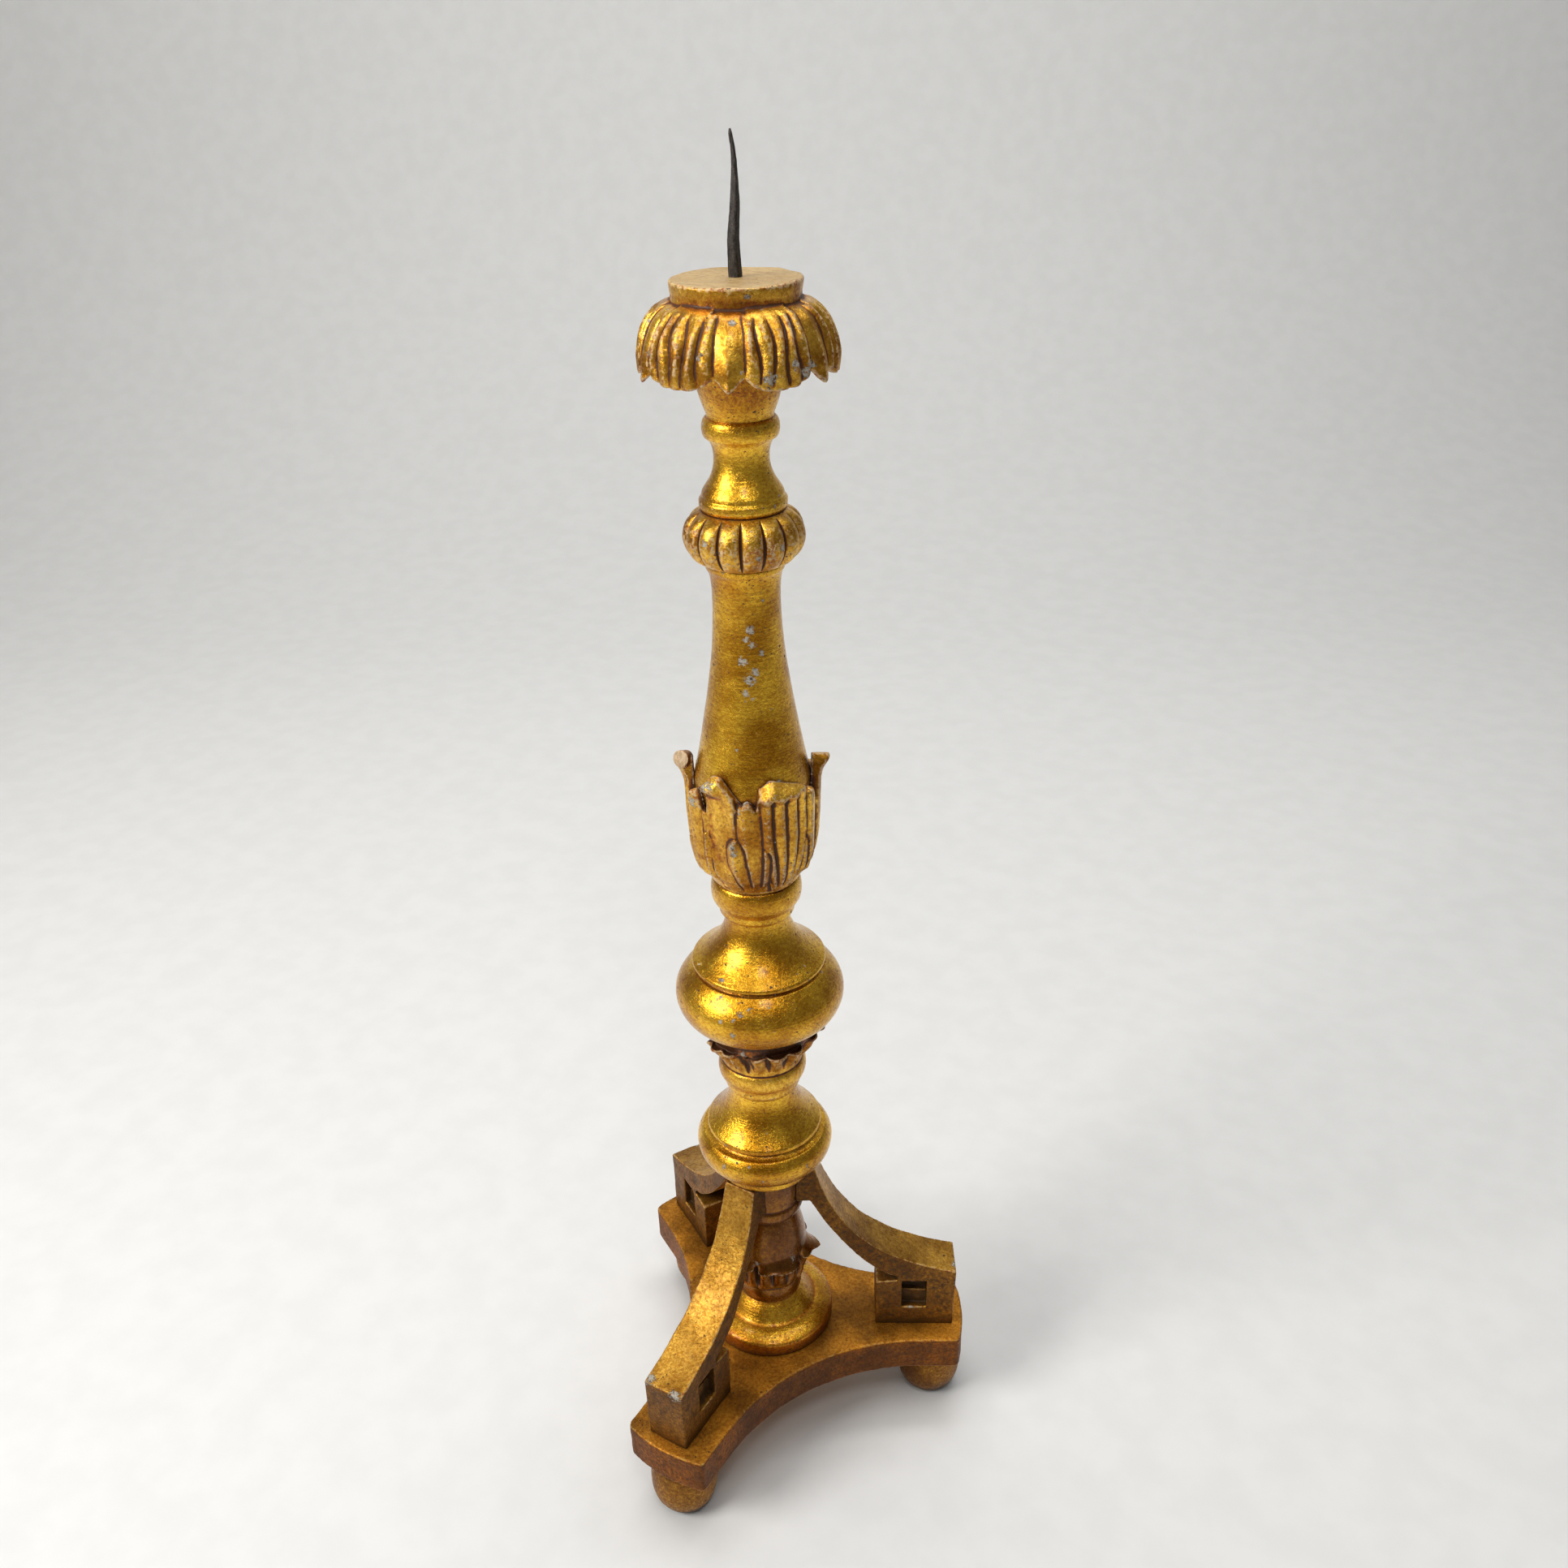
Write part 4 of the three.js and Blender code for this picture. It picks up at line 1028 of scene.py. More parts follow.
def leg_outline():
    inner, outer = 112.6, 193.3
    head_outer = 49.5
    base = PLATE_TOP - SEAT
    head_top = LOWER_BULB_BASE
    head_foot = head_top - SEAT - 41.5
    kerf_end = inner + 22.4
    kerf_sill = BLOCK_TOP - 12
    kerf_top = kerf_sill + 5.5
    path = [(inner, base), (outer, base), (outer + 2.5, BLOCK_TOP)]
    curve(
        path,
        (blend(inner, outer, 0.12), BLOCK_TOP + 17),
        (head_outer + 23, blend(BLOCK_TOP, head_top, 0.335)),
        (head_outer, head_top),
    )
    line(path, (30, head_top), (30, head_foot), (head_outer - 5, head_foot))
    curve(
        path,
        (head_outer + 14, head_foot - 37.5),
        (inner - 13.5, kerf_top + 12.5),
        (kerf_end, kerf_top),
    )
    line(path, (kerf_end, kerf_sill), (inner, kerf_sill - 2))
    return path


def eye_recess(way, azimuth):
    """Two cuts of a sunk eye: its upper part is cut deeper, over a rough ledge."""
    sill = PLATE_TOP + SEAT + 23.5
    cuts = []
    for depth, foot, top in ((6.7, sill + 17, sill + 37), (12.2, sill, sill + 18)):
        corners = [(139.5, 40), (139.5, depth), (165.5, depth + 1.5), (165.5, 40)]
        if way < 0:
            corners = corners[::-1]
        points, faces = slab([(x, way * y) for x, y in corners], foot, top)
        cuts.append((turn_round(points, azimuth), faces))
    return cuts


def make_leg(side, azimuth):
    half, head_half = 21.7, 16.7
    points, faces = slab(leg_outline(), -half, half)
    x, z, y = points.T
    rise = np.clip((z - BLOCK_TOP) / (LOWER_BULB_BASE - BLOCK_TOP), 0, 1)
    points = turn_round(np.stack([x, y * blend(1, head_half / half, rise), z], 1), azimuth)
    cutters = eye_recess(-1, azimuth) + eye_recess(1, azimuth)
    mesh = fused(f"{side}_leg_gilded", (points, faces), 1.0, cutters, rounds=3)
    turn = math.radians(azimuth)
    flank = np.array([-math.sin(turn), math.cos(turn), 0])

    # Painted shade: the leg's flanks and the upright faces of its block are darker
    def flank_painted_shade(points, normals):
        upright = ease(np.abs(normals[:, 2]), 0.6, 0.2)
        upright = upright * ease(points[:, 2], BLOCK_TOP + 8, BLOCK_TOP - 4)
        return 0.5 * np.maximum(ease(np.abs(normals @ flank), 0.6, 0.95), upright)

    if side == "front":
        bare = patches(0, (azimuth + 4, BLOCK_TOP - 1, 196, 6), (azimuth - 5, BLOCK_TOP, 192, 5))
    else:
        bare = patches(0, (azimuth - 3, BLOCK_TOP - 2, 195, 5))
    settle(
        mesh, f"{side}_leg", [BASE_GOLD], seed=31 + azimuth % 11, wobble=0.3,
        reach=2.0, bare=bare, painted_shade=flank_painted_shade,
    )


# ------------------------------------------------------------------ column

def turn_piece(name, cad_node, path, segments, base, seed, step=1.0, bare=None, painted_shade=None):
    """A gilded piece of the column, straight off the lathe."""
    mesh = mesh_from(f"{name}_turned", *raised(turned(path, segments, step), base))
    settle(mesh, cad_node, [TURNED_GOLD], seed, bare=bare, painted_shade=painted_shade)


def make_foot_disc():
    path = [(0, 0), (66, 0), (66, 14), (64.5, 16)]
    curve(path, (56, 21.5), (48, 22))
    curve(path, (43, 23), (41, 31), (32, 40))
    line(path, (32, 41), (0, 41))

    # Painted shade over the disc, darker on its low flat part
    def disc_painted_shade(points, _):
        high = points[:, 2] - DISC_BASE
        return 0.22 + 0.2 * ease(high, 24, 8)

    turn_piece("disc", "foot_disc", path, 220, DISC_BASE, 41, painted_shade=disc_painted_shade)


# Azimuths where the six leaves of the stem and of the cup meet
COLUMN_LEAF_EDGES = (-77, -3, 52, 111, 171, 227)


def make_stem():
    segments = 300
    foot = [(0, -1), (31, -1), (31, 0)]
    bead(foot, 34, 31, 21)

    def reach(azimuth):
        return 1 - 0.15 * leaf_share(azimuth, COLUMN_LEAF_EDGES) ** 4

    def lift(azimuth, v, _):
        u = leaf_share(azimuth, COLUMN_LEAF_EDGES)
        hollow = 1 - np.abs(np.cos(1.5 * math.pi * u)) ** 0.8
        curl = 3.4 * (1 - np.abs(u) ** 2.5) * ease(v, 0.7, 0.92) + 0.8 * np.sin(5 * u)
        tip = 6.5 * np.exp(-((off_from(azimuth, 31) / 9) ** 2)) * ease(v, 0.65, 1)
        tip = tip + 4.0 * np.exp(-((off_from(azimuth, 84) / 9) ** 2)) * ease(v, 0.65, 1)
        notch = 3.0 * ease(np.abs(u), 0.85, 1) * ease(v, 0, 0.4)
        return curl + tip - 6.2 * hollow * ease(v, 0.1, 0.5) * ease(v, 1, 0.85) - notch + 0.8

    spine = [(31.2, 21), (36, 25), (38.8, 34), (40, 44), (41.8, 52), (45.5, 57.5)]
    leaves = carved(spine, segments, 60, reach, lift)
    edge = leaf_share(around(segments), COLUMN_LEAF_EDGES)
    lip = bridge(leaves, 39.6, 67 - 6 * edge**2, 12, -1.8)
    swell = [(39.2, 69)]
    curve(swell, (38.8, 87), (28.5, 111))
    bead(swell, 37, 34.5, 127)
    line(swell, (34.5, 171), (0, 171))
    skin = spun(rows_of(foot, segments), leaves, lip, rows_of(swell, segments))
    mesh = fused("stem_carved", raised(skin, STEM_BASE), 0.8, rounds=2)
    settle(
        mesh, "lower_stem", [SHADE_PAINTED_GOLD], seed=51, reach=1.3,
        painted_shade=sunk(STEM_BASE, spine, 1.0, 7.0, 0.7, 57),
        bare=patches(STEM_BASE, (-76, 64, 41, 3.5), (-80, 60, 44, 3), (-20, 64, 42, 3)),
    )


def make_lower_bulb():
    path = [(0, -0.5), (48.5, -0.5), (50, 2), (50, 12.5)]
    quarter_out(path, 67, 34)
    curve(path, (67, 41), (60.5, 47.5))
    curve(path, (53.4, 47.8), (53.2, 52.2))
    line(path, (56.6, 53), (56.2, 57.5))
    curve(path, (33, 77.5), (33, 100.5))
    line(path, (33, 101.2), (0, 101.2))
    turn_piece(
        "lower_bulb", "lower_bulb", path, 240, LOWER_BULB_BASE, 61,
        bare=patches(
            LOWER_BULB_BASE, (-95, 38, 66, 2.4), (-40, 50, 58, 1.8), (-100, 55, 55, 2),
            (-60, 30, 66, 1.5), (-20, 36, 66, 1.8), (-72, 44, 63, 1.5), (-52, 26, 64, 1.4),
        ),
    )


def make_leaf_cup():
    segments = 320
    foot = [(0, -0.5), (33, -0.5), (36.5, 4), (36.5, 9), (38, 14)]
    bead(foot, 42.7, 38.5, 34)

    def folds(azimuth, v):
        """How deep each point lies between the folds: 0 on a crest, 1 in a trough."""
        u = leaf_share(azimuth, COLUMN_LEAF_EDGES)
        return 1 - np.abs(np.cos(1.75 * math.pi * (u - 0.16 * (1 - v)) + 0.4)) ** 1.1

    def reach(azimuth):
        u = leaf_share(azimuth, COLUMN_LEAF_EDGES)
        return 1 - 0.30 * np.abs(u - 0.12) ** 3 - 0.05 * folds(azimuth, 1.0)

    def lift(azimuth, v, _):
        u = leaf_share(azimuth, COLUMN_LEAF_EDGES)
        notch = 5.0 * ease(np.abs(u), 0.84, 1) * ease(v, 0, 0.3)
        lip = 3.4 * ease(v, 0.72, 1) * (1 - np.abs(u) ** 1.6)
        fold = 7.5 * folds(azimuth, v) * ease(v, 0.05, 0.5) * ease(v, 1.05, 0.78)
        return lip - fold - notch - 1.6 * folds(azimuth, v) * ease(v, 0.8, 1) + 0.5

    spine = [(38.7, 34), (41, 41), (46, 48), (51, 55), (54, 62), (57, 68), (59.4, 71)]
    leaves = carved(spine, segments, 70, reach, lift)
    lip = bridge(leaves, leaves[0][-1:] - 4.0, leaves[1][-1:] + 0.6, 4, 1.4)
    trough = bridge(lip, 52, 68, 8)
    mouth = [(52, 67), (51.6, 76), (52.3, 79.2), (56, 80.6), (56.4, 86.5), (0, 86.5)]
    skin = spun(rows_of(foot, segments), leaves, lip, trough, rows_of(mouth, segments))

    # Painted shade in the recess under the bulb and in the depths of the carving
    def recess_painted_shade(points, normals):
        far = np.hypot(points[:, 0], points[:, 1])
        high = points[:, 2] - CUP_BASE
        recess = 0.5 * ease(high, 58, 68) * ease(far, 57.5, 54.5) * ease(high, 84, 78)
        return np.maximum(recess, sunk(CUP_BASE, spine, 1.5, 7.5, 0.55, 66)(points, normals))

    mesh = fused("cup_carved", raised(skin, CUP_BASE), 0.8, rounds=2)
    settle(
        mesh, "leaf_cup", [CARVED_GOLD], seed=71, reach=1.3,
        bare=patches(CUP_BASE, (-77, 70, 55, 4.5), (-112, 76, 53, 4), (-40, 79, 53, 3)),
        painted_shade=recess_painted_shade,
    )


def make_upper_bulb():
    path = [(0, -0.4), (57, -0.4), (57, 0)]
    quarter_out(path, 79.4, 27.5)
    curve(path, (79.4, 41.5), (62.2, 56))
    curve(path, (58.8, 56.6), (58.6, 59.4))
    line(path, (62.6, 60), (62.2, 63.5))
    curve(path, (29.5, 85.5), (29.5, 111.5))
    line(path, (29.5, 112.2), (0, 112.2))
    turn_piece(
        "upper_bulb", "upper_bulb", path, 260, UPPER_BULB_BASE, 81,
        bare=patches(
            UPPER_BULB_BASE, (-65, 50, 70, 2.5), (-72, 46, 74, 3), (-76, 41, 77, 2.2),
            (-85, 37, 78.5, 2.5), (-90, 55, 65, 1.8), (-93, 53, 67, 1.8), (-97, 49, 71, 2),
            (-76, 26, 79, 2.5), (-94, 65, 57, 3), (-128, 65, 57, 2.5), (-26, 67, 53, 2),
            (-51, 51, 69, 1.6), (-50, 46, 74, 1.6), (-21, 37, 79, 1.6), (-56, 38, 78, 1.5),
            (-11, 61, 61, 2), (-83, 71, 46, 1.6), (-75, 53, 67, 1.8), (-33, 77, 38, 1.6),
        ),
    )


def make_collar():
    path = [(0, -0.4), (30.5, -0.4), (34.5, 4), (34.5, 10), (37, 14)]
    bead(path, 41.5, 37.5, 39)
    line(path, (37.5, 42.5), (0, 42.5))
    turn_piece("collar", "collar_ring", path, 180, COLLAR_BASE, 91)


def small_leaf(azimuth, height, middle, left_top, right_top):
    """Lift of a small three-lobed leaf over the large leaves' edges, and where it covers them."""
    lean = middle + 4 * (1 - height / 98)
    half = np.interp(height, [0, 40, 66, 98], [9, 12, 13, 12])
    main = lobe(azimuth, height, lean, SMALL_LEAF_TOP, half, 15)
    left = lobe(
        azimuth, height, lean - 13 + 5 * ease(height, 45, 0), left_top,
        np.interp(height, [0, 30, 60], [7, 10, 9]), 14,
    )
    right = lobe(
        azimuth, height, lean + 13 - 3 * ease(height, 45, 0), right_top,
        np.interp(height, [0, 30, 60], [5, 7, 6]), 11,
    )
    cover = np.zeros_like(height)
    total = np.zeros_like(height)
    for (inside, across), rise, dome in ((right, -3.0, 4.0), (main, -2.8, 5.0), (left, -2.4, 4.8)):
        share = ease(inside, 0, 1.1)
        fall = np.where(across < -0.25, (-0.25 - across) / 0.75, (across + 0.25) / 1.25)
        face = rise + dome * (1 - fall**1.35) * ease(height, 0, 18)
        total = blend(total, face, share)
        cover = np.maximum(cover, share)
    return total, cover


CALYX_HEIGHT = 118.5
SMALL_LEAF_TOP = 98.5
ROLLED_LEAF = -31
BROKEN_HORN = -147
# Radius and height over the base of the hull that the calyx's ridges touch
CALYX_HULL = (
    (41.3, 0.3), (46.2, 9), (50, 15), (52, 20), (54, 27), (56.3, 40), (57.3, 55), (58, 70),
    (58.6, 90), (59.2, 104), (60, CALYX_HEIGHT),
)
# Azimuths of a large leaf's foot and tip, its ribs and its height; the worn leaf has no ribs
CALYX_LEAVES = (
    (-78, -95, 0, 118), (-27, ROLLED_LEAF, 4, 118), (33, 31, 3, 118),
    (90, 90, 3, 116), (150, 150, 3, 117), (-147, -148, 3, 116),
)
# Azimuth of a small leaf and the heights of its left and right lobes
CALYX_SMALL = (
    (-63, 63, 52), (3, 58, 54), (60, 60, 58), (120, 58, 60), (180, 60, 56), (-121, 50, 62),
)


def calyx_edge(azimuth):
    """Height of the calyx's ragged top: a worn leaf, a rolled leaf, horns and small leaves."""
    edge = np.full_like(azimuth, 82.0)
    for _, middle, ribs, top in CALYX_LEAVES:
        off = off_from(azimuth, middle)
        if not ribs:
            rise = top - 7 * ease(-off, 1, 8) - 45 * ease(-off, 7.5, 11)
            rise = rise - 1.15 * np.clip(off - 7, 0, 40)
        elif middle == ROLLED_LEAF:
            rise = top - 1.5 - 6 * ease(-off, 9, 20) - 34 * ease(-off, 20, 27)
            rise = rise - 0.35 * np.clip(off + 9, 0, 40) - 22 * ease(off, 24, 38)
        else:
            rise = top - 40 * np.clip((np.abs(off) - 1.5) / 14, 0, 2) ** 1.25
        edge = np.maximum(edge, rise)
    for middle, *_ in CALYX_SMALL:
        off = off_from(azimuth, middle)
        edge = np.maximum(edge, SMALL_LEAF_TOP - 16 * (off / 11) ** 2)
    return edge


def calyx_lift(azimuth, _, height):
    """How far the carving stands from the calyx's hull; its ground lies well under the ridges."""
    ground = -4.4
    total = np.full_like(height, ground)
    for foot, tip, ribs, _ in CALYX_LEAVES:
        middle = blend(foot, tip, np.clip(height / 100, 0, 1))
        half = np.interp(height, [0, 20, 60, 100], [11, 18, 26, 25 if tip == ROLLED_LEAF else 21])
        u = off_from(azimuth, middle) / half
        off = off_from(azimuth, tip)
        if ribs:
            bent = u + 0.10 * np.sin(height / 23 + middle)
            face = 1.4 * (1 - u**2) + 4.0 * (pleats(bent, ribs) - 1) * ease(height, 0, 16)
        else:
            face = 0.5 - 3.4 * (1 - np.clip(np.abs(u + 0.2), 0, 1) ** 2) * ease(height, 8, 40)
            ripple = 0.25 * np.cos(2.6 * math.pi * u) * ease(height, 10, 30)
            face = face + ripple * ease(height, 105, 90)
        if tip == ROLLED_LEAF:
            crest = 103.5
            over = np.clip((height - crest) / np.maximum(calyx_edge(azimuth) - crest, 3), 0, 1)
            shelf = ease(height, 95, 104) * (1 - 1.9 * over**1.5)
            sweep = 6.0 - 2.6 * ease(off, 0, 20) + 0.5 * np.sin(off / 4.0)
            face = face * ease(height, 106, 99)
            face = face + sweep * shelf * ease(np.abs(off + 1), 26, 16)
        elif ribs:
            flare = 8.2 * ease(height, 88, 117) ** 1.7 * ease(np.abs(off), 12, 1)
            face = face * ease(height, 112, 96) + flare
        else:
            shelf = ease(height, 99, 108) * (1 - 1.6 * np.clip((height - 108) / 10, 0, 1) ** 1.5)
            face = face * ease(height, 110, 100) + 5.0 * shelf * ease(np.abs(off + 2), 13, 3)
        inside = ease(1 - np.abs(u), 0, 0.05)
        total = np.where(inside > 0, np.maximum(total, blend(ground, face, inside)), total)
    for middle, left_top, right_top in CALYX_SMALL:
        over, cover = small_leaf(azimuth, height, middle, left_top, right_top)
        if middle == 3:
            cover = cover * ease(off_from(azimuth, -1), -4, 1)
        total = blend(total, over, cover)
    shallow = blend(0.35, 1.0, ease(height, 0, 14))
    return total * shallow - 1.2 * ease(calyx_edge(azimuth) - height, 2.2, 0)


def make_calyx():
    segments = 520

    def reach(azimuth):
        return calyx_edge(azimuth) / CALYX_HEIGHT

    leaves = carved(CALYX_HULL, segments, 150, reach, calyx_lift)
    base = rows_of([(1, 0), (38, 0), (41, 0.1)], segments)
    rim = bridge(leaves, 51.3, leaves[1][-1:] + 0.6, 10, 0.4)
    inner = rows_of([(51.2, 80), (50, 58), (46, 30), (30, 26)], segments, 2.0)
    skin = spun(base, leaves, rim, inner)
    horn = turn_round([(61.5, 0, 115.5)], BROKEN_HORN)[0]
    facing = np.array([math.cos(math.radians(-85)), math.sin(math.radians(-85)), 0.32])
    facing /= np.linalg.norm(facing)
    stub = rod(horn - 11 * facing, horn + 1.5 * facing, 6.4, 7.7)
    mesh = fused("calyx_carved", raised(joined(skin, stub), CALYX_BASE), 0.85, rounds=2)
    face_at = horn + 1.5 * facing + np.array([0, 0, CALYX_BASE])

    def broken(centres, normals):
        near = np.linalg.norm(centres - face_at, axis=1) < 8.6
        return near & (normals @ facing > 0.75)

    def rubbed_edge(points):
        far = np.hypot(points[:, 0], points[:, 1])
        near = ease(far, 54.2, 52.4) * ease(points[:, 2], CALYX_BASE + 78, CALYX_BASE + 84)
        return 0.62 * near

    settle(
        mesh, "acanthus_calyx", [CARVED_GOLD, BROKEN_WOOD], seed=101, reach=1.3,
        paint=broken, edge=rubbed_edge, painted_shade=sunk(CALYX_BASE, CALYX_HULL, 1.0, 7.0, 0.75, 99),
        bare=patches(
            CALYX_BASE, (-100, 112, 62, 5), (-94, 114, 62, 3.5), (-78, 57, 60, 4.5),
            (-75, 50, 60, 3.5), (-70, 92, 60, 3), (-40, 109, 66, 3.5), (-13, 103, 64, 3),
            (-65, 99, 54, 4), (-120, 88, 60, 5),
        ),
    )


def make_shaft():
    path = [(0, 0), (40, 0)]
    curve(path, (50, 30), (51, 88))
    curve(path, (27.8, 196), (28.3, 250))
    curve(path, (28.3, 274), (32.5, 277))
    line(path, (33.5, 282.4), (0, 282.4))
    turn_piece(
        "shaft", "main_shaft", path, 220, SHAFT_BASE, 111, step=1.3,
        bare=patches(
            SHAFT_BASE, (-53, 232, 29, 4), (-60, 224, 29, 3), (-50, 219, 30, 3),
            (-67, 205, 31, 4), (-56, 190, 33, 5), (-48, 196, 32, 3.5), (-36, 212, 30, 2.5),
            (-53, 174, 34, 2), (-62, 178, 34, 3), (-30, 100, 49, 2), (-75, 130, 43, 1.6),
        ),
    )


def make_knop():
    edge, crown, top = 33.5, 50.0, 43.5
    path = [(0, -0.3), (edge, -0.3)]
    curve(path, (crown - 1, top * 0.12), (crown, top * 0.5))
    curve(path, (crown - 1, top * 0.86), (edge + 3, top - 1))
    line(path, (edge, top + 0.3), (0, top + 0.3))
    lobes = 15

    def lobed(azimuth, radius, height):
        """Gadroons: rounded lobes with quirks between, which die out at the neck."""
        turns = (azimuth + 49) * lobes / 360
        off = 2 * (turns - np.round(turns))
        out = ease(radius, edge, crown - 3)
        round_back = np.sqrt(np.clip(1 - off**2, 0, 1))
        return radius - 6.5 * out * (1 - round_back), height

    mesh = mesh_from("knop_carved", *raised(turned(path, 450, 0.9, lobed), KNOP_BASE))
    settle(
        mesh, "gadrooned_knop", [CARVED_GOLD], seed=121,
        bare=patches(
            KNOP_BASE, (-97, 26, 50, 3), (-84, 20, 50, 3.5), (-62, 27, 50, 3), (-44, 17, 49, 2.5),
            (-38, 30, 49, 3), (-20, 22, 50, 3), (-110, 18, 49, 2.5),
        ),
    )


def make_vase():
    path = [(0, -0.3), (33.7, -0.3), (35.7, 3), (35.7, 8.5), (33.5, 10.5)]
    curve(path, (33.5, 19), (22.3, 22.8), (22.3, 42))
    curve(path, (22.3, 52), (27, 57))
    line(path, (27, 57.4), (0, 57.4))
    turn_piece("vase", "upper_vase", path, 160, VASE_BASE, 131)


def make_pan_cup():
    path = [(0, -0.3), (27.5, -0.3)]
    bead(path, 30.8, 26.6, 16)
    curve(path, (26.6, 19), (28.1, 22))
    curve(path, (35, 40), (39, 69))
    line(path, (39, 69.5), (0, 69.5))

    # Painted shade over the cup under the pan, darker higher up
    def painted_shade_beneath(points, _):
        return 0.2 + 0.1 * ease(points[:, 2], PAN_CUP_BASE + 14, PAN_CUP_BASE + 40)

    turn_piece("pan_cup", "pan_cup", path, 160, PAN_CUP_BASE, 141, painted_shade=painted_shade_beneath)


# ------------------------------------------------------------------ drip pan and pricket

def scallop(u):
    """How far a rounded leaf's edge rises from its lowest point, over its width from 0 to 1."""
    return 17 * (1 - np.sqrt(1 - u**2.3 * 0.98))


def make_pan():
    segments = 600
    strips = 5
    # Azimuth and half width of the broad leaves, azimuth of the narrow ones, depth of the ribs
    broad = ((-95.5, 24.5), (-32.5, 21.5), (27, 23), (87, 22), (147, 23), (-155, 22.5))
    narrow = (-63, -2, 57, 117, 177, -125)
    ribs = np.random.default_rng(5).uniform(0.75, 1.25, (len(broad), strips + 1))

    def low_edge(azimuth):
        """Height of the skirt's edge over its lowest point: round leaves between pointed ones."""
        edge = np.full_like(azimuth, 13.0)
        for middle in narrow:
            off = np.abs(off_from(azimuth, middle))
            edge = np.minimum(edge, 0.2 + 1.15 * off + 1.2 * ease(off, 4, 6))
        for middle, half in broad:
            u = np.clip(np.abs(off_from(azimuth, middle)) / half, 0, 1)
            edge = np.where(u < 1, np.minimum(edge, scallop(u)), edge)
        return edge

    def reach(azimuth):
        return 1 - low_edge(azimuth) / 76

    def lift(azimuth, v, height):
        total = np.zeros_like(v)
        for middle in narrow:
            off = off_from(azimuth, middle) / 13
            crest = 4.6 * (1 - np.clip(np.abs(off) / 0.75, 0, 1)) ** 0.9
            keel = crest * (0.45 * ease(v, 0.05, 0.3) + 0.55 * ease(v, 0.45, 0.85))
            tip = 2.2 * ease(v, 0.86, 1) * ease(np.abs(off), 0.6, 0.1)
            total = np.where(np.abs(off) < 1, keel + tip - 1.4, total)
        for k, (middle, half) in enumerate(broad):
            off = off_from(azimuth, middle)
            waver = 0.05 * np.sin(v * 7 + 2 * k + off / 5)
            u = off / half + waver * ease(1 - np.abs(off) / half, 0, 0.3)
            over = scallop(np.clip(np.abs(u), 0, 1))
            inside = np.minimum((1 - np.abs(u)) * half * 1.2, height - over + 2.5)
            cover = ease(inside, 0, 1.6) * ease(v, 0.03, 0.2)
            spot = np.clip((u + 1) / 2 * strips, 0, strips - 0.001)
            index = np.floor(spot).astype(int)
            fall = spot - index
            strip = np.sin(math.pi * fall ** (0.75 + 0.5 * ribs[k, strips])) ** 0.9
            depth = 4.6 * ribs[k][index] * ease(v, 0.06, 0.4) * blend(1, 0.45, ease(v, 0.7, 1))
            dome = 2.1 * (1 - np.abs(u) ** 2.2) * ease(v, 0.1, 0.5)
            face = 1.0 + dome + depth * (strip - 0.9)
            total = np.where(np.abs(u) < 1, blend(total, face, cover), total)
        return total

    spine = [(50.2, 53.5), (57, 50.5), (63.5, 44.5), (69, 36), (72.6, 26), (74.6, 15)]
    spine += [(74.6, 6), (73.8, 0)]
    top = [(1, 68.1), (50, 68.1), (51, 66.6), (50.2, 61), (49.4, 57.5), (49.6, 54.5)]
    skirt = carved(spine, segments, 130, reach, lift)
    lip = bridge(skirt, skirt[0][-1:] - 4.2, skirt[1][-1:] + 1.2, 5, -1.2)
    under = bridge(lip, 66, 17.5, 12)
    inner = rows_of([(64, 18), (42, 19), (1, 19)], segments, 2.0)
    skin = spun(rows_of(top, segments), skirt, lip, under, inner)
    skin = (skin[0], [face[::-1] for face in skin[1]])
    mesh = fused("pan_carved", raised(skin, PAN_LIP), 0.8, rounds=1)

    def top_face(centres, facing):
        flat = (centres[:, 2] > PAN_TOP - 1.2) & (facing[:, 2] > 0.9)
        return flat & (np.hypot(centres[:, 0], centres[:, 1]) < 49.5)

    settle(
        mesh, "drip_pan", [CARVED_GOLD, PAN_TOP_WORN], seed=151, wobble=0.3, reach=1.3,
        paint=top_face, painted_shade=sunk(PAN_LIP, spine, 0.8, 5.0, 0.45, 50),
        bare=patches(
            PAN_LIP, (-12, 14, 76, 5), (-17, 9, 76, 4), (-40, 8, 76, 5), (-24, 17, 77, 4),
            (-48, 62, 51, 2.5), (-118, 20, 76, 4), (-60, 46, 61, 3), (-80, 24, 75, 3),
        ),
    )


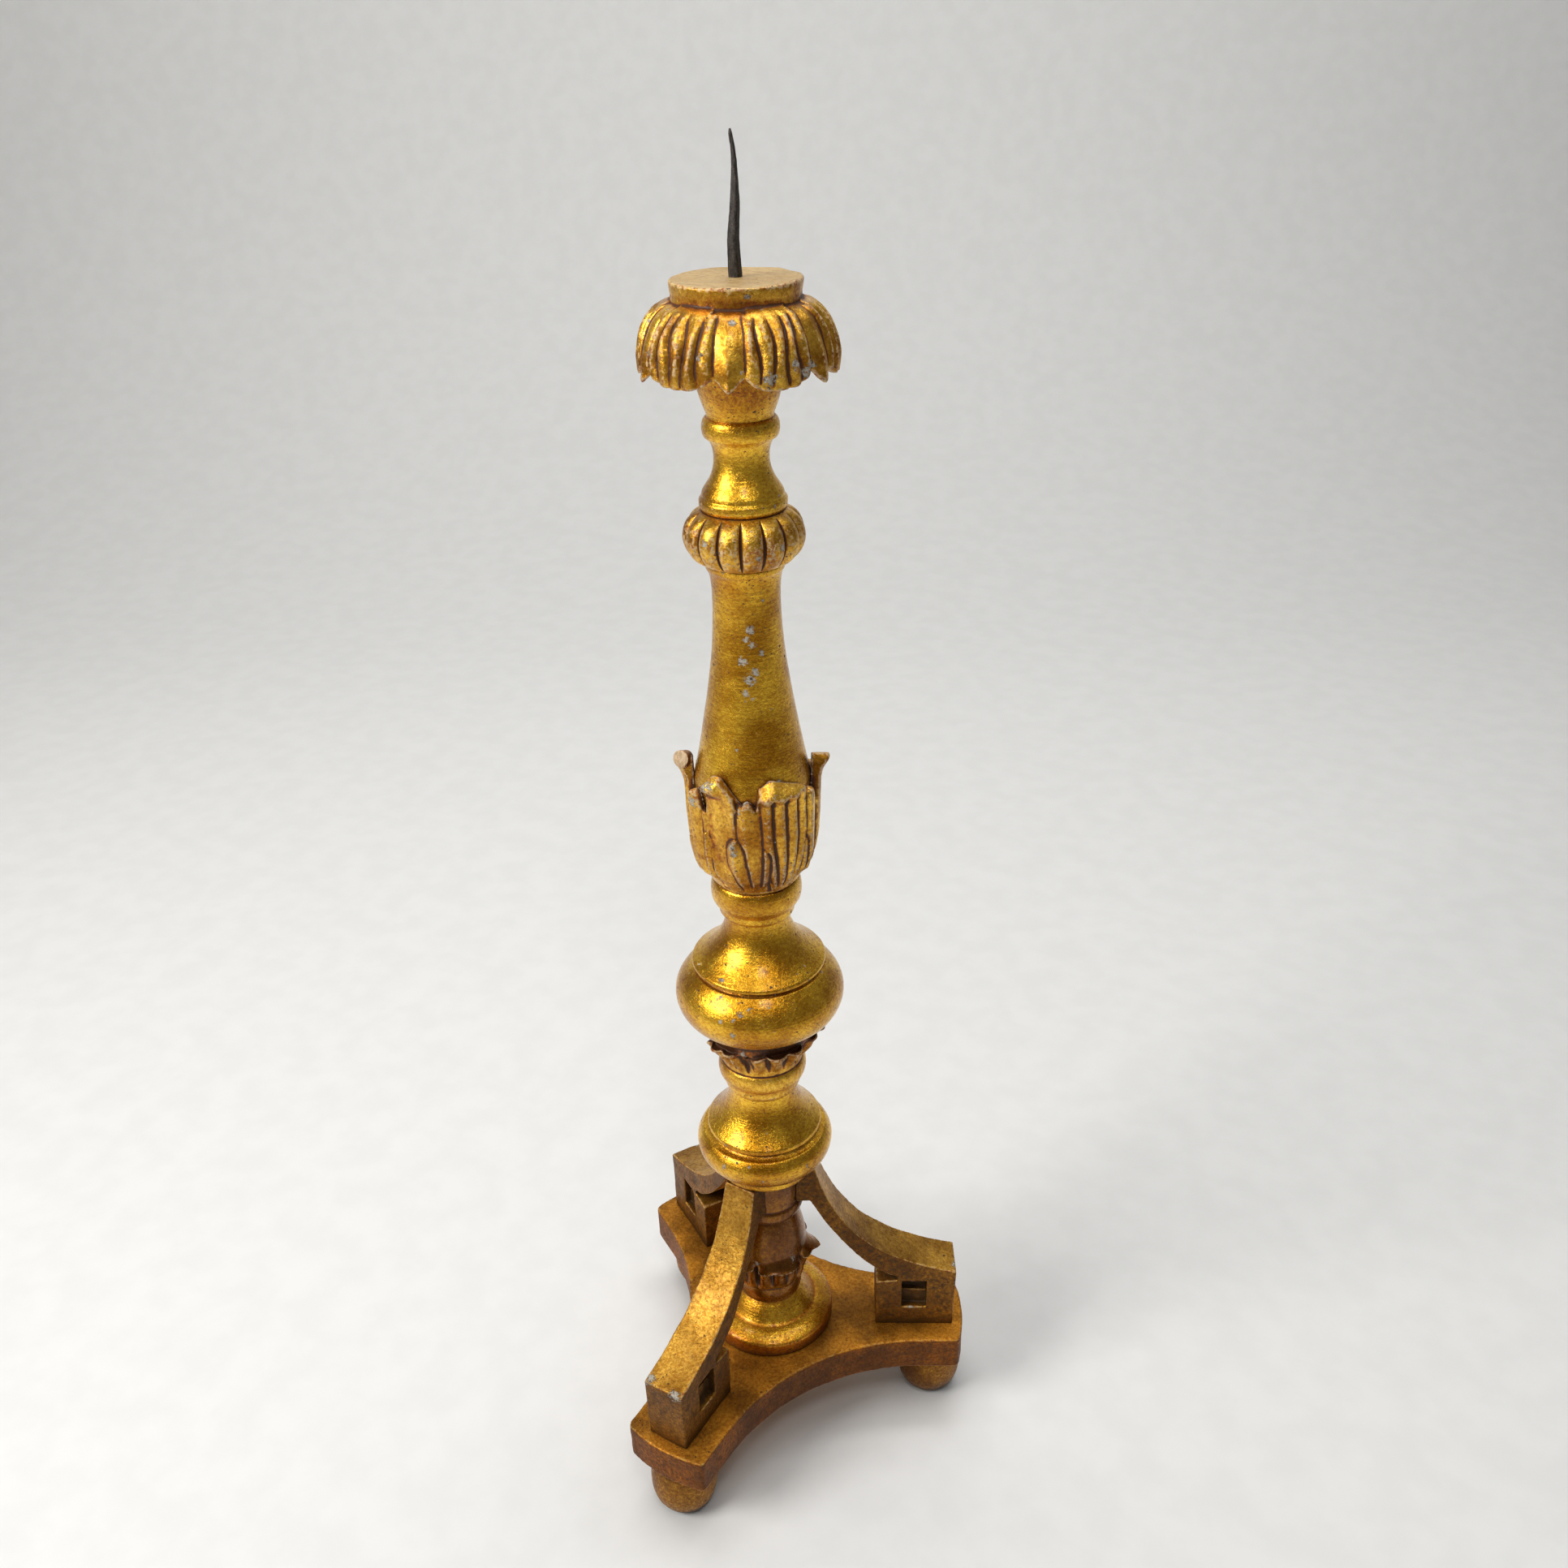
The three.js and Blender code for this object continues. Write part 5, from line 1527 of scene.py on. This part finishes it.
def make_spike():
    """A square bar drawn out by hammering: it leans one way, then back, and ends blunt."""
    sizes = ((0, 8.6), (27, 7.5), (50, 6.3), (72, 4.1), (86, 3.1), (98, 2.5), (101, 1.2))
    shifts = ((0, 0), (27, -0.6), (50, 1.2), (72, 1.7), (86, 1.3), (98, -0.3), (101, -0.6))
    heights = np.linspace(-6, 101, 130)
    side = np.interp(heights, *zip(*sizes)) / 2
    sway = through(shifts, 130)
    shift = np.interp(heights, sway[:, 0], sway[:, 1])
    angles = np.radians(np.arange(0, 360, 15))
    lean = math.radians(33)
    hammering = np.random.default_rng(7)
    points = []
    dents = hammering.normal(0, 0.12, (len(heights), 4))
    for _ in range(4):
        dents[1:-1] = dents[1:-1] / 2 + (dents[:-2] + dents[2:]) / 4
    for row, height in enumerate(heights):
        twist = math.radians(-3 + 5 * math.sin(height / 60))
        for k, angle in enumerate(angles):
            c, s = math.cos(angle), math.sin(angle)
            square = (abs(c) ** 5 + abs(s) ** 5) ** (-1 / 5)
            dent = dents[row, round(k / 6) % 4]
            far = side[row] * square + dent
            points.append(
                (
                    far * math.cos(angle + twist) + shift[row] * math.cos(lean),
                    far * math.sin(angle + twist) + shift[row] * math.sin(lean),
                    height,
                )
            )
    count = len(angles)
    faces = [tuple(range(count - 1, -1, -1))]
    faces.append(tuple(range(len(points) - count, len(points))))
    for i in range(len(heights) - 1):
        for k in range(count):
            low = i * count
            faces.append(
                (low + k, low + (k + 1) % count, low + count + (k + 1) % count, low + count + k)
            )
    mesh = mesh_from("spike_forged", *raised((points, faces), PAN_TOP))
    settle(mesh, "pricket_spike", [IRON], seed=161, wobble=0.05, reach=0.8)


# ------------------------------------------------------------------ studio

def make_studio():
    """A pale floor that sweeps up into a pale backdrop behind the stand."""
    profile = [(-5.0, 0.0), (2.2, 0.0)]
    curve(profile, (4.0, 0.0), (4.0, 1.8))
    line(profile, (4.0, 5.5))
    points = []
    for far, height in profile:
        points += [(far, side, height) for side in (-7.0, 7.0)]
    faces = [(2 * k, 2 * k + 2, 2 * k + 3, 2 * k + 1) for k in range(len(profile) - 1)]
    sweep = bpy.data.meshes.new("studio_sweep")
    away = 121.66
    sweep.from_pydata(turn_round(points, away).tolist(), [], faces)
    sweep.polygons.foreach_set("use_smooth", [True] * len(faces))
    floor = bpy.data.objects.new("studio_sweep", sweep)
    bpy.context.scene.collection.objects.link(floor)
    material, tree, shader, point = new_material("pale_floor")
    speckle = noise(tree, point, 0.02, 3, 0.5)
    colour = mixed(tree, between(tree, speckle, 0.3, 0.7), (0.72, 0.72, 0.71), (0.75, 0.75, 0.74))
    tree.links.new(colour, shader.inputs["Base Color"])
    shader.inputs["Roughness"].default_value = 0.9
    sweep.materials.append(material)

    world = bpy.data.worlds.new("studio_air")
    world.use_nodes = True
    ground = world.node_tree.nodes["Background"]
    ground.inputs["Color"].default_value = (1.0, 0.98, 0.96, 1)
    ground.inputs["Strength"].default_value = 0.16
    bpy.context.scene.world = world
    middle = (0, 0, 0.7)
    soft_lamp("key_lamp", (-1.3, -2.1, 2.4), middle, (1.3, 1.3), 75, (1, 0.98, 0.95))
    soft_lamp("small_lamp", (1.0, -1.2, 2.9), middle, (0.5, 0.5), 12)
    soft_lamp("top_lamp", (0.0, 0.4, 4.2), middle, (3.0, 3.0), 60)
    soft_lamp("backdrop_lamp", (-0.4, 0.8, 4.4), (-1.9, 3.0, 1.0), (3.0, 1.0), 60)


# ------------------------------------------------------------------ the whole stand

place_camera()
make_studio()
make_plate()
for leg_side, leg_azimuth in LEG_AZIMUTHS.items():
    make_foot(leg_side, leg_azimuth)
    make_leg(leg_side, leg_azimuth)
make_foot_disc()
make_stem()
make_lower_bulb()
make_leaf_cup()
make_upper_bulb()
make_collar()
make_calyx()
make_shaft()
make_knop()
make_vase()
make_pan_cup()
make_pan()
make_spike()

for peg_side in LEG_AZIMUTHS:
    for peg in (f"{peg_side}_base_peg", f"{peg_side}_head_peg"):
        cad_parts[peg].data.materials.clear()
        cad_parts[peg].data.materials.append(PEG_WOOD)

bpy.context.scene.view_settings.view_transform = "Standard"
